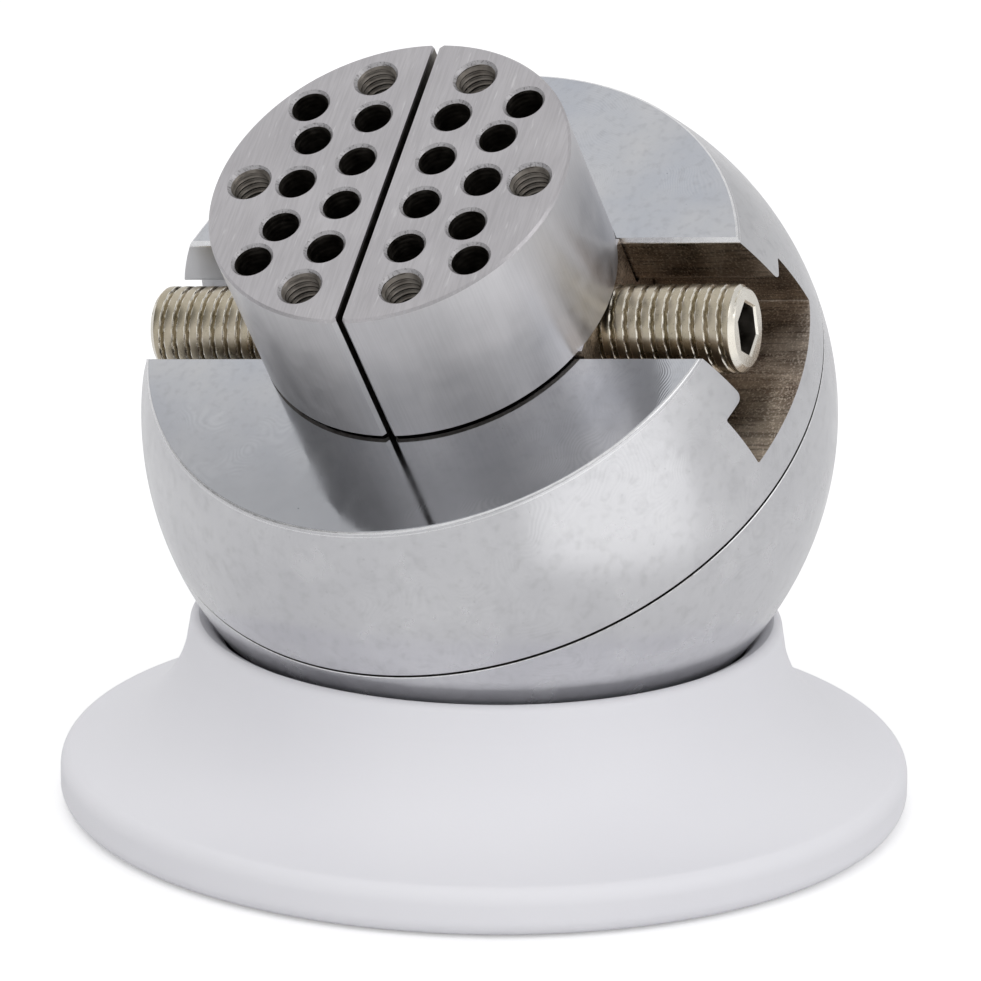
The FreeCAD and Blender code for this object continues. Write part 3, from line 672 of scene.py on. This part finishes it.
def burred_bevel():
    """The bevels of the jaws' holes, with the small marks that the countersink left."""
    look = Look("jaw_bevel_burred_steel")
    marks = look.noise(0.3, stretch=(1.0, 1.0, 0.3), seed=15.0)
    between = look.spread(marks, 0.0, 1.0, 0.34, 0.46)
    colour = look.blend(between, (0.27, 0.26, 0.265), (0.47, 0.46, 0.47))
    return look.finish(colour, look.spread(marks, 0.5, 0.38), look.relief((marks, 0.012)))


def oily_bore_painted_shade():
    """Oil and painted shade: the dark inside of holes and sockets, and of the gaps between parts."""
    look = Look("hole_oil_and_painted_shade_steel")
    blotches = look.noise(1.6, 4.0, seed=41.0)
    colour = look.two_tone(blotches, (0.13, 0.115, 0.1), (0.25, 0.23, 0.205))
    marks = look.noise(0.2, stretch=(0.3, 0.3, 1.0), seed=42.0)
    return look.finish(colour, look.spread(blotches, 0.3, 0.45), look.relief((marks, 0.012)))


def plated_screw():
    """Nickel plate on the jaw screw, warm where oil has stained it, with dark specks."""
    look = Look("screw_nickel_plate")
    stains = look.noise(4.0, 4.0, seed=51.0)
    specks = look.noise(0.3, seed=52.0)
    warm = look.two_tone(stains, (0.4, 0.355, 0.26), (0.56, 0.5, 0.4))
    colour = look.blend(look.spread(specks, 0.35, 0.0, 0.28, 0.4), warm, (0.1, 0.08, 0.06))
    return look.finish(colour, look.spread(stains, 0.22, 0.34), look.relief((specks, 0.006)))


def moulded_base():
    """Pale matte plastic with a very fine moulded grain."""
    look = Look("base_pale_plastic", BASE_FRAME)
    clouds = look.noise(40.0, 2.0, seed=61.0)
    colour = look.two_tone(clouds, (0.79, 0.787, 0.825), (0.81, 0.807, 0.84))
    relief = look.relief((look.noise(0.5, seed=62.0), 0.006))
    return look.finish(colour, look.spread(clouds, 0.42, 0.5), relief, metallic=0.0)


def simple_finish(name, dark, light, roughness, metallic=1.0):
    """Two tones in blotches, a spread of roughness and fine relief. The name's length is the seed."""
    look = Look(name)
    blotches = look.noise(6.0, 4.0, seed=len(name))
    fine = look.noise(1 / 3, seed=len(name) + 2.0)
    colour = look.two_tone(blotches, dark, light)
    return look.finish(colour, look.spread(fine, *roughness), look.relief((fine, 0.004)), metallic)


ball_finish = polished_ball()
flat_finish = polished_flat()
slot_finish = milled_slot()
# Bevels and edges brighter than the steel: painted highlight, with real dents
edge_highlight_finish = edge_steel_painted_highlight()
burr_finish = burred_bevel()
jaw_top_finish = ground_jaw_top()
jaw_side_finish = turned_jaw_side()
# Dark colour for holes and gaps: oil, and painted shade where shade falls
oil_and_shade_finish = oily_bore_painted_shade()
screw_finish = plated_screw()
screw_edge_finish = simple_finish("screw_worn_plate", (0.74, 0.7, 0.62), (0.88, 0.85, 0.78), (0.18, 0.3))
base_finish = moulded_base()
# Black rubber, also painted shade for the dark line between the ball and the base
rubber_and_shade_finish = simple_finish("seat_rubber", (0.02, 0.02, 0.021), (0.035, 0.034, 0.034), (0.55, 0.7), 0.0)
turned_finish = simple_finish("inner_turned_steel", (0.4, 0.4, 0.41), (0.5, 0.5, 0.51), (0.28, 0.4))

# The finish of each of the record's material slots
slot_finishes = {
    "base_plastic": base_finish,
    "rubber": rubber_and_shade_finish,
    "ball_steel": ball_finish,
    "jaw_steel": jaw_side_finish,
    "plated_steel": screw_finish,
    "turned_steel": turned_finish,
    "plug_steel": simple_finish("plug_turned_steel", (0.42, 0.42, 0.43), (0.52, 0.52, 0.53), (0.22, 0.34)),
    "bearing_steel": simple_finish("bearing_ground_steel", (0.58, 0.58, 0.6), (0.68, 0.68, 0.7),
                                   (0.12, 0.2)),
    "ball_bearing_steel": simple_finish("rolling_ball_steel", (0.66, 0.66, 0.68), (0.74, 0.74, 0.76),
                                        (0.05, 0.1)),
    "cage_brass": simple_finish("cage_brass", (0.6, 0.42, 0.17), (0.72, 0.54, 0.25), (0.25, 0.38)),
    "black_steel": simple_finish("screw_black_steel", (0.035, 0.035, 0.038), (0.07, 0.07, 0.073),
                                 (0.3, 0.45)),
    "nylon": simple_finish("pad_nylon", (0.66, 0.63, 0.55), (0.76, 0.73, 0.66), (0.4, 0.55), 0.0),
}


def finish_inner_pieces():
    """Gives every CAD piece its slot's finish, also the hidden ones."""
    for row in frame["record"]["subparts"]:
        materials = frame["nodes"][row["node"]].data.materials
        materials.clear()
        materials.append(slot_finishes[row["material_slot"]])


# Ring base and seat ring

def sagging_middle(start, end, sag):
    """The middle of an arc from an outer, lower point to an inner, higher one that sags inward."""
    along = end[0] - start[0]
    rise = end[1] - start[1]
    chord = math.hypot(along, rise)
    return ((start[0] + end[0]) / 2 - sag * rise / chord, (start[1] + end[1]) / 2 + sag * along / chord)


def make_base():
    """The ring base: rounded rim, sweeping flare, collar and the mouth that the ball sits in."""
    groove_radius = ball_radius + seat_gap + seat_ring_thickness + seat_gap
    lip_bottom = base_mouth_height - base_lip_thickness
    ledge = lip_bottom - seat_ring_height - 2 * seat_gap
    bore = sphere_reach(groove_radius, ledge - centre_height) - base_ledge_width
    foot_share = 1 - math.sqrt(0.5)
    rim_turn = (base_rim_radius - base_rim_round, base_rim_height - base_rim_round)
    rim_end = math.radians(base_rim_round_angle)
    flare_start = on_circle(base_rim_round, rim_end, rim_turn)
    flare_end = (base_flare_top_radius, base_flare_top)
    lip_turn = (base_collar_radius - base_collar_round, base_collar_height - base_collar_round)
    outline = [(bore + base_bore_bevel, 0)]
    outline += arc_through((base_rim_radius - base_foot_inset, 0),
                           (base_rim_radius - base_foot_inset * foot_share, base_foot_lift * foot_share),
                           (base_rim_radius, base_foot_lift), foot_rows)
    outline += arc_through((base_rim_radius, rim_turn[1]), on_circle(base_rim_round, rim_end / 2, rim_turn),
                           flare_start, arc_rows)
    outline += arc_through(flare_start, sagging_middle(flare_start, flare_end, base_flare_sag),
                           flare_end, flare_rows)[1:]
    outline += arc_through((base_collar_radius, lip_turn[1]),
                           on_circle(base_collar_round, math.radians(45), lip_turn),
                           (lip_turn[0], base_collar_height), arc_rows)
    outline += [(base_collar_bore + base_lip_round, base_mouth_height + base_lip_round / 2)]
    outline += sphere_arc(base_mouth_radius, base_mouth_height - base_lip_round, lip_bottom, mouth_rows,
                          centre_height)
    outline += sphere_arc(groove_radius, lip_bottom, ledge, arc_rows, centre_height)
    outline += [(bore, ledge), (bore, base_bore_bevel)]
    mesh = turned_mesh("base_ring", outline, base_segments)
    shade(mesh, sharp_angle=30)
    return finished_piece("base_ring", mesh, [base_finish], lambda face: base_finish, BASE_FRAME,
                          "base", "base")


def make_seat_ring():
    """The black rubber ring that grips the ball. Its black also serves as painted shade for the dark line where
    the ball meets the base.
    """
    inner = ball_radius + seat_gap
    outer = inner + seat_ring_thickness
    top = base_mouth_height - base_lip_thickness - seat_gap
    bottom = top - seat_ring_height
    soft = seat_ring_round

    def corner(radius, height, inset):
        return (sphere_reach(radius, height - centre_height) + inset, height)

    outline = sphere_arc(outer, top - soft, bottom + soft, arc_rows, centre_height)
    outline += [corner(outer, bottom, -soft), corner(inner, bottom, soft)]
    outline += sphere_arc(inner, bottom + soft, top - soft, arc_rows, centre_height)
    outline += [corner(inner, top, soft), corner(outer, top, -soft)]
    mesh = turned_mesh("rubber_seat", outline, seat_segments)
    shade(mesh, sharp_angle=50)
    return finished_piece("rubber_seat", mesh, [rubber_and_shade_finish], lambda face: rubber_and_shade_finish, BASE_FRAME,
                          "seat", "seat_ring")


# Ball

def on_ball(face):
    """Whether a face lies on the round surface of the ball."""
    facing = face.center.normalized().dot(face.normal)
    return abs(face.center.length - ball_radius) < near_ball and abs(facing) > straight


def slot_cutter():
    """The T-shaped slot as a solid, with rounded lips and a bevelled mouth."""
    mouth = slot_mouth_width / 2
    undercut = slot_undercut_width / 2
    outline = mirrored_outline([
        (mouth + slot_mouth_bevel + overrun, flat_height + overrun, 0),
        (mouth, flat_height - slot_mouth_bevel, slot_mouth_round),
        (mouth, slot_ceiling, slot_lip_round),
        (undercut, slot_ceiling, slot_corner_round),
        (undercut, slot_floor, slot_corner_round),
    ])
    return drawn_mesh("slot_cutter", outline, -ball_radius - overrun, ball_radius + overrun)


def rod_cutter(radius, bottom, top, along=0.0, across=0.0):
    """An upright round cutter."""
    mesh = turned_mesh("rod_cutter", [(radius, bottom), (radius, top)], hole_segments, closed=False)
    mesh.transform(Matrix.Translation((along, across, 0)))
    return mesh


def make_upper_ball():
    """The upper part of the ball, with its flat top, rounded rim, slot and screw bores."""
    rim_bottom = flat_height - flat_rim_round
    edge_top = upper_ball_bottom + parting_edge
    rim_radius = sphere_reach(ball_radius, rim_bottom)
    inner_rim = rim_radius - flat_rim_round
    inward, downward = (flat_rim_round * share for share in flat_rim_middle)
    outline = [(sphere_reach(ball_radius, edge_top) - parting_edge, upper_ball_bottom)]
    outline += sphere_arc(ball_radius, edge_top, rim_bottom, upper_ball_rows)
    outline += arc_through((rim_radius, rim_bottom), (rim_radius - inward, flat_height - downward),
                           (inner_rim, flat_height), corner_rows)[1:]
    mesh = turned_mesh("upper_ball_body", outline, ball_segments, closed=False)
    below = upper_ball_bottom - overrun
    corner = spindle_screw_circle * math.sqrt(0.5)
    cutters = [slot_cutter(), rod_cutter(pilot_bore_radius, below, upper_ball_bottom + pilot_bore_depth)]
    cutters += [rod_cutter(spindle_screw_bore, below, upper_ball_bottom + floor_bore_depth, along, across)
                for along in (-corner, corner) for across in (-corner, corner)]
    cutters += [rod_cutter(yoke_screw_bore, slot_floor - floor_bore_depth, slot_floor + overrun, 0, across)
                for across in (-yoke_screw_aside, yoke_screw_aside)]
    mesh = combined(mesh, cutters)
    shade(mesh, sharp_angle=24, rounds=[((0, 0, 0), None, ball_radius)])

    def pick(face):
        height = face.center.z
        if on_ball(face):
            return ball_finish
        if height > flat_height - near_plane and face.normal.z > straight:
            return flat_finish
        # The rounded rim and the top of the slot's mouth get the painted highlight
        on_rim = math.hypot(face.center.x, face.center.y) > inner_rim - near_plane
        if height > flat_height - slot_highlight_depth or (on_rim and height > rim_bottom - near_plane):
            return edge_highlight_finish
        # Faces in the parting gap and in the bores: painted shade
        return oil_and_shade_finish if height < upper_ball_bottom + near_plane else slot_finish

    materials = [ball_finish, flat_finish, edge_highlight_finish, slot_finish, oil_and_shade_finish]
    return finished_piece("ball_upper_part", mesh, materials, pick, BALL_FRAME,
                          "head", "upper_ball")


def make_lower_ball():
    """The lower part of the ball, bored for the bearings, the plug and the drag screw."""
    edge_bottom = lower_ball_top - parting_edge
    plug_mouth = -sphere_reach(ball_radius, plug_radius)
    outline = [
        (recess_radius, lower_ball_top), (recess_radius, shoulder_bottom),
        (upper_seat_radius, shoulder_bottom), (upper_seat_radius, upper_bearing_bottom),
        (web_radius, upper_bearing_bottom), (web_radius, lower_bearing_top),
        (lower_seat_radius, lower_bearing_top), (lower_seat_radius, lower_bearing_bottom),
        (plug_radius, lower_bearing_bottom),
    ]
    outline += sphere_arc(ball_radius, plug_mouth, edge_bottom, lower_ball_rows)
    outline += [(sphere_reach(ball_radius, edge_bottom) - parting_edge, lower_ball_top)]
    mouth = sphere_reach(ball_radius, drag_height)
    bore = [(drag_bore_radius, 0), (drag_bore_radius, mouth - drag_mouth_bevel),
            (drag_bore_radius + drag_mouth_bevel + overrun, mouth + overrun)]
    cutter = turned_mesh("drag_bore", bore, hole_segments, closed=False)
    cutter.transform(Matrix.Translation((0, 0, drag_height)) @ Matrix.Rotation(-math.pi / 2, 4, "X"))
    mesh = combined(turned_mesh("lower_ball_body", outline, ball_segments), [cutter])
    shade(mesh, sharp_angle=24, rounds=[((0, 0, 0), None, ball_radius)])

    def pick(face):
        if on_ball(face):
            return ball_finish
        # At the parting gap the face gets painted shade and the bevel a painted highlight
        if face.center.z > edge_bottom - near_plane:
            return oil_and_shade_finish if face.normal.z > straight else edge_highlight_finish
        return turned_finish

    materials = [ball_finish, edge_highlight_finish, turned_finish, oil_and_shade_finish]
    return finished_piece("ball_lower_part", mesh, materials, pick, BALL_FRAME,
                          "ball", "lower_ball")


# Jaws

def half_disc(inset):
    """The outline of half a disc beside the split, drawn in by an inset. It always has as many points."""
    radius = jaw_radius - inset
    near = jaw_split / 2 + min(inset, jaw_split_edge)
    end = math.sqrt(radius ** 2 - (near + jaw_split_bevel) ** 2)
    corner = end - jaw_split_bevel
    start_angle = math.atan2(end, near + jaw_split_bevel)
    points = [(near, -corner), (near + jaw_split_bevel, -end)]
    for step in range(1, jaw_segments):
        points.append(on_circle(radius, -start_angle + 2 * start_angle * step / jaw_segments))
    points += [(near + jaw_split_bevel, end), (near, corner)]
    return points


def pin_hole_places():
    """The nine pin holes of a jaw."""
    near = [(near_row_offset, row_pitch * (step + 0.5)) for step in range(-2, 2)]
    middle = [(middle_row_offset, row_pitch * step) for step in (-1, 0, 1)]
    outer = [on_circle(outer_pair_circle, math.radians(side * outer_pair_angle)) for side in (-1, 1)]
    return near + middle + outer


def tapped_hole_places():
    """The three tapped holes of a jaw."""
    return [on_circle(tapped_circle, math.radians(side * tapped_angle)) for side in (-1, 0, 1)]


def pin_hole_cutter():
    """A reamed pin hole with a drill point, and with the faint rings that the reamer left."""
    bottom = jaw_top - hole_depth
    outline = [(pin_hole_tip_radius, bottom - pin_hole_radius / 2), (pin_hole_radius, bottom)]
    for ring in range(int((hole_depth - hole_bevel) / pin_mark_pitch)):
        low = bottom + ring * pin_mark_pitch
        outline += [(pin_hole_radius - pin_mark_depth * deep, low + pin_mark_pitch * share)
                    for share, deep in pin_mark_outline]
    outline += [(pin_hole_radius, jaw_top - hole_bevel),
                (pin_hole_radius + hole_bevel + overrun, jaw_top + overrun)]
    return turned_mesh("pin_hole", outline, hole_segments, closed=False)


def wave(phase):
    """A rounded thread form: 0 at the middle of a crest, 1 at the middle of a groove."""
    return 0.5 - 0.5 * math.cos(2 * math.pi * phase)


def tapped_hole_cutter():
    """A tap's shape: a helical thread that runs out into the bevelled mouth."""
    bottom = jaw_top - hole_depth
    rows = int(hole_depth / tapped_pitch * rows_per_turn)
    heights = [bottom + hole_depth * row / rows for row in range(rows + 1)] + [jaw_top + overrun]
    loops = []
    for height in heights:
        bevel = tapped_hole_radius + hole_bevel + (height - jaw_top)
        loop = []
        for step in range(hole_segments):
            turn = step / hole_segments
            thread = tapped_groove_radius - tapped_thread_depth * wave(height / tapped_pitch - turn)
            loop.append((*on_circle(max(thread, bevel), 2 * math.pi * turn), height))
        loops.append(loop)
    return stacked_mesh("tapped_hole", loops)


def jaw_body():
    """The half-round head of a jaw on its T-shaped foot."""
    levels = ((jaw_bottom, jaw_edge_bevel), (jaw_bottom + jaw_edge_bevel, 0),
              (jaw_top - jaw_edge_bevel, 0), (jaw_top, jaw_edge_bevel))
    loops = [[(x, y, height) for x, y in half_disc(inset)] for height, inset in levels]
    neck = slot_mouth_width / 2 - slide_clearance
    foot = slot_undercut_width / 2 - slide_clearance
    bottom = slot_floor + slide_clearance
    top = slot_ceiling - slide_clearance
    outline = mirrored_outline([(neck, jaw_bottom + jaw_edge_bevel, 0), (neck, top, jaw_neck_round),
                                (foot, top, jaw_edge_bevel), (foot, bottom, jaw_edge_bevel)])
    foot_body = drawn_mesh("jaw_foot", outline, jaw_foot_start, jaw_radius - jaw_foot_inset)
    return combined(stacked_mesh("jaw_head", loops), [foot_body], "UNION")


def make_jaw(name, node, body, turned):
    """One jaw, drilled, tapped and bored for the jaw screw."""
    bore_radius = screw_radius + screw_bore_clearance
    bore = turned_mesh("screw_bore", [(bore_radius, -overrun), (bore_radius, jaw_radius + overrun)],
                       jaw_segments // 2, closed=False)
    bore.transform(Matrix.Translation((0, 0, screw_height)) @ Matrix.Rotation(math.pi / 2, 4, "Y"))
    cutters = [bore]
    hole_places = []
    for places, maker, radius in ((pin_hole_places(), pin_hole_cutter, pin_hole_radius),
                                  (tapped_hole_places(), tapped_hole_cutter, tapped_hole_radius)):
        for along, across in places:
            cutter = maker()
            cutter.transform(Matrix.Translation((along, across, 0)))
            cutters.append(cutter)
            hole_places.append((along, across, radius))
    mesh = combined(jaw_body(), cutters)
    shade(mesh, sharp_angle=28, rounds=[((0, 0, 0), (0, 0, 1), jaw_radius),
                                        ((0, 0, screw_height), (1, 0, 0), bore_radius)])

    def pick(face):
        x, y, z = face.center
        rise = face.normal.z
        for along, across, radius in hole_places:
            # A hole's wall is dark with oil and painted shade
            if math.hypot(x - along, y - across) < radius + hole_bevel and abs(rise) < straight:
                on_bevel = z > jaw_top - hole_bevel - 2 * near_plane and rise > hole_bevel_rise
                return burr_finish if on_bevel else oil_and_shade_finish
        if z > jaw_top - jaw_edge_bevel - near_plane and rise > edge_bevel_rise:
            return jaw_top_finish
        # The jaw's bottom bevel and the faces along its split: painted shade in the gaps
        if jaw_bottom - near_plane < z < jaw_bottom + jaw_edge_bevel and rise < -edge_bevel_rise:
            return oil_and_shade_finish
        if x < jaw_split / 2 + jaw_split_edge + near_plane and abs(face.normal.x) > straight:
            return oil_and_shade_finish
        return slot_finish if z < jaw_bottom - near_plane else jaw_side_finish

    materials = [jaw_top_finish, jaw_side_finish, burr_finish, oil_and_shade_finish, slot_finish]
    place = BALL_FRAME @ Matrix.Rotation(math.pi if turned else 0, 4, "Z")
    return finished_piece(name, mesh, materials, pick, place, body, node)


# Jaw screw

def groove_distance(distance, turn):
    """How far a place on the jaw screw is from the middle of the groove, in pitches."""
    phase = (distance / screw_pitch - turn) % 1.0
    return min(phase, 1 - phase)


def thread_radius(distance, turn):
    """The radius of the jaw screw at a distance from its middle and a part of a turn."""
    from_groove = groove_distance(distance, turn)
    side = max(0.0, 1 - from_groove / (thread_groove_share / 2))
    crown = thread_crown * ((from_groove - 0.5) / 0.5) ** 2
    return screw_radius - thread_depth * side ** thread_groove_power - crown


def screw_rows():
    """The cross-sections of the right half of the screw as (distance, radius limit)."""
    length = screw_half_length - screw_neck_half
    rows = int(length / screw_pitch * rows_per_turn)
    places = [(screw_neck_half, screw_neck_radius)]
    for row in range(rows + 1):
        distance = screw_neck_half + length * row / rows
        limit = min(screw_radius, screw_radius + screw_half_length - distance - screw_end_bevel,
                    screw_radius + distance - screw_neck_half - thread_depth)
        places.append((distance, limit))
    return places


def screw_loop(along, limit):
    """One cross-section of the screw as points around the X axis, nowhere wider than a limit."""
    loop = []
    for step in range(screw_segments):
        turn = step / screw_segments
        radius = min(limit, thread_radius(abs(along), turn))
        loop.append((along, *on_circle(radius, 2 * math.pi * turn, (0, screw_height))))
    return loop


def socket_cutter(side):
    """The hexagon socket in one end of the screw, with flats at the top and bottom and a bevelled mouth."""
    reach = socket_across / math.sqrt(3)
    socket_floor = screw_half_length - socket_depth
    loops = []
    for distance, radius in ((socket_floor - socket_point_depth, reach * socket_point_share),
                             (socket_floor, reach),
                             (screw_half_length - socket_bevel, reach),
                             (screw_half_length + overrun, reach + socket_bevel + overrun)):
        loops.append([(side * distance, *on_circle(radius, math.radians(60 * step), (0, screw_height)))
                      for step in range(6)])
    return stacked_mesh("socket", loops)


def make_screw():
    """The jaw screw, right-hand on its right half and left-hand on the other, with hexagon sockets."""
    rows = screw_rows()
    loops = [screw_loop(-distance, limit) for distance, limit in reversed(rows)]
    loops += [screw_loop(distance, limit) for distance, limit in rows]
    mesh = combined(stacked_mesh("jaw_screw_body", loops), [socket_cutter(side) for side in (-1, 1)])
    shade(mesh, sharp_angle=40)

    def pick(face):
        distance, across, up = abs(face.center.x), face.center.y, face.center.z - screw_height
        from_end = screw_half_length - distance
        # Inside the socket: painted shade
        if math.hypot(across, up) < socket_shade_radius and socket_shade_start < from_end < socket_shade_end:
            return oil_and_shade_finish
        from_groove = groove_distance(distance, math.atan2(up, across) / (2 * math.pi))
        worn = abs(from_groove - thread_groove_share / 2) < thread_worn_share
        return screw_edge_finish if worn or from_end < screw_end_bevel else screw_finish

    materials = [screw_finish, oil_and_shade_finish, screw_edge_finish]
    return finished_piece("jaw_screw_threaded", mesh, materials, pick, BALL_FRAME,
                          "screw", "jaw_screw")


# Stage

def aimed(azimuth, elevation):
    """The direction at an azimuth, right of the camera's side, and an elevation, in degrees."""
    side, rise = math.radians(azimuth), math.radians(elevation)
    return (math.cos(rise) * math.sin(side), -math.cos(rise) * math.cos(side), math.sin(rise))


def floor_finish():
    """The pale floor: soft shadows, and a little light of its own so that it reads near white."""
    look = Look("stage_floor_paper", BASE_FRAME)
    clouds = look.noise(120.0, 2.0, seed=71.0)
    colour = look.two_tone(clouds, (0.8, 0.8, 0.805), (0.815, 0.815, 0.82))
    path = look.add("LightPath").outputs
    seen = look.maths("MULTIPLY", path["Is Camera Ray"], floor_glow)
    ahead, aside = (look.vectors("DOT_PRODUCT", look.place, aimed(azimuth, 0), "Value")
                    for azimuth in (floor_window_azimuth, floor_window_azimuth + 90))
    narrow = look.maths("ABSOLUTE", look.maths("DIVIDE", aside, look.maths("MAXIMUM", ahead, 1.0)))
    window = look.maths("MULTIPLY", look.spread(narrow, 1.0, 0.0, *floor_window_width_shares),
                        look.spread(ahead, 0.0, 1.0, *floor_window_start))
    glow = look.spread(window, floor_glow_in_metal, floor_window_glow, 0.0, 1.0)
    mirrored = look.maths("MULTIPLY", path["Is Glossy Ray"], glow)
    look.connect(look.maths("ADD", seen, mirrored), look.shader.inputs["Emission Strength"])
    look.connect((1.0, 1.0, 1.0, 1.0), look.shader.inputs["Emission Color"])
    return look.finish(colour, 0.55, metallic=0.0)


def make_floor():
    """A wide pale floor under the vise."""
    corners = [(x * floor_reach, y * floor_reach, 0) for x, y in ((-1, -1), (1, -1), (1, 1), (-1, 1))]
    mesh = bpy.data.meshes.new("stage_floor")
    mesh.from_pydata(corners, [], [(0, 1, 2, 3)])
    mesh.materials.append(floor_finish())
    floor = new_object("stage_floor", mesh)
    floor.location.z = -floor_drop


def make_world():
    """A pale studio: white for the camera, with soft windows and darker corners that the steel mirrors."""
    world = bpy.data.worlds.new("studio")
    bpy.context.scene.world = world
    world.use_nodes = True
    nodes = Nodes(world.node_tree)
    nodes.tree.nodes.clear()
    place = nodes.add("TexCoord").outputs["Generated"]
    brightness = studio_level
    for azimuth, elevation, inner, outer, change in studio_patches:
        facing = nodes.vectors("DOT_PRODUCT", place, aimed(azimuth, elevation), "Value")
        limits = (math.cos(math.radians(outer)), math.cos(math.radians(inner)))
        patch = nodes.spread(facing, 0.0, change, *limits, "SMOOTHSTEP")
        brightness = nodes.maths("ADD", brightness, patch)
    studio = nodes.add("Background", {}, {"Color": studio_tint, "Strength": brightness})
    seen = nodes.add("Background", {}, {"Color": (1.0, 1.0, 1.0, 1.0), "Strength": 1.0})
    path = nodes.add("LightPath")
    mix = nodes.add("MixShader", {}, {
        0: path.outputs["Is Camera Ray"], 1: studio.outputs[0], 2: seen.outputs[0]})
    nodes.add("OutputWorld", {}, {"Surface": mix.outputs[0]})


def add_lamp(name, location, size, power, tint):
    """A soft area lamp that points at the vise."""
    data = bpy.data.lights.new(name, "AREA")
    data.shape = "RECTANGLE"
    data.size, data.size_y = size
    data.energy = power
    data.color = tint
    lamp = new_object(name, data)
    lamp.location = location
    lamp.visible_glossy = False
    aim = Vector(lamp_aim) - Vector(location)
    lamp.rotation_euler = aim.to_track_quat("-Z", "Y").to_euler()


def make_camera():
    """The camera that took the photograph, fitted to the outline of the ball, the flat and the base."""
    data = bpy.data.cameras.new("photo_camera")
    data.sensor_width = camera_sensor
    data.lens = camera_lens
    camera = new_object("photo_camera", data)
    pitch = Matrix.Rotation(math.radians(90 - camera_pitch), 4, "X")
    roll = Matrix.Rotation(math.radians(camera_roll), 4, "Z")
    camera.matrix_world = Matrix.Translation(camera_place) @ pitch @ roll
    bpy.context.scene.camera = camera


finish_inner_pieces()
make_base()
make_seat_ring()
make_upper_ball()
make_lower_ball()
make_jaw("jaw_right_drilled", "jaw_right", "right_jaw", turned=False)
make_jaw("jaw_left_drilled", "jaw_left", "left_jaw", turned=True)
make_screw()

make_floor()
make_world()
for lamp in lamps:
    add_lamp(*lamp)
make_camera()

scene = bpy.context.scene
scene.view_settings.view_transform = "Standard"
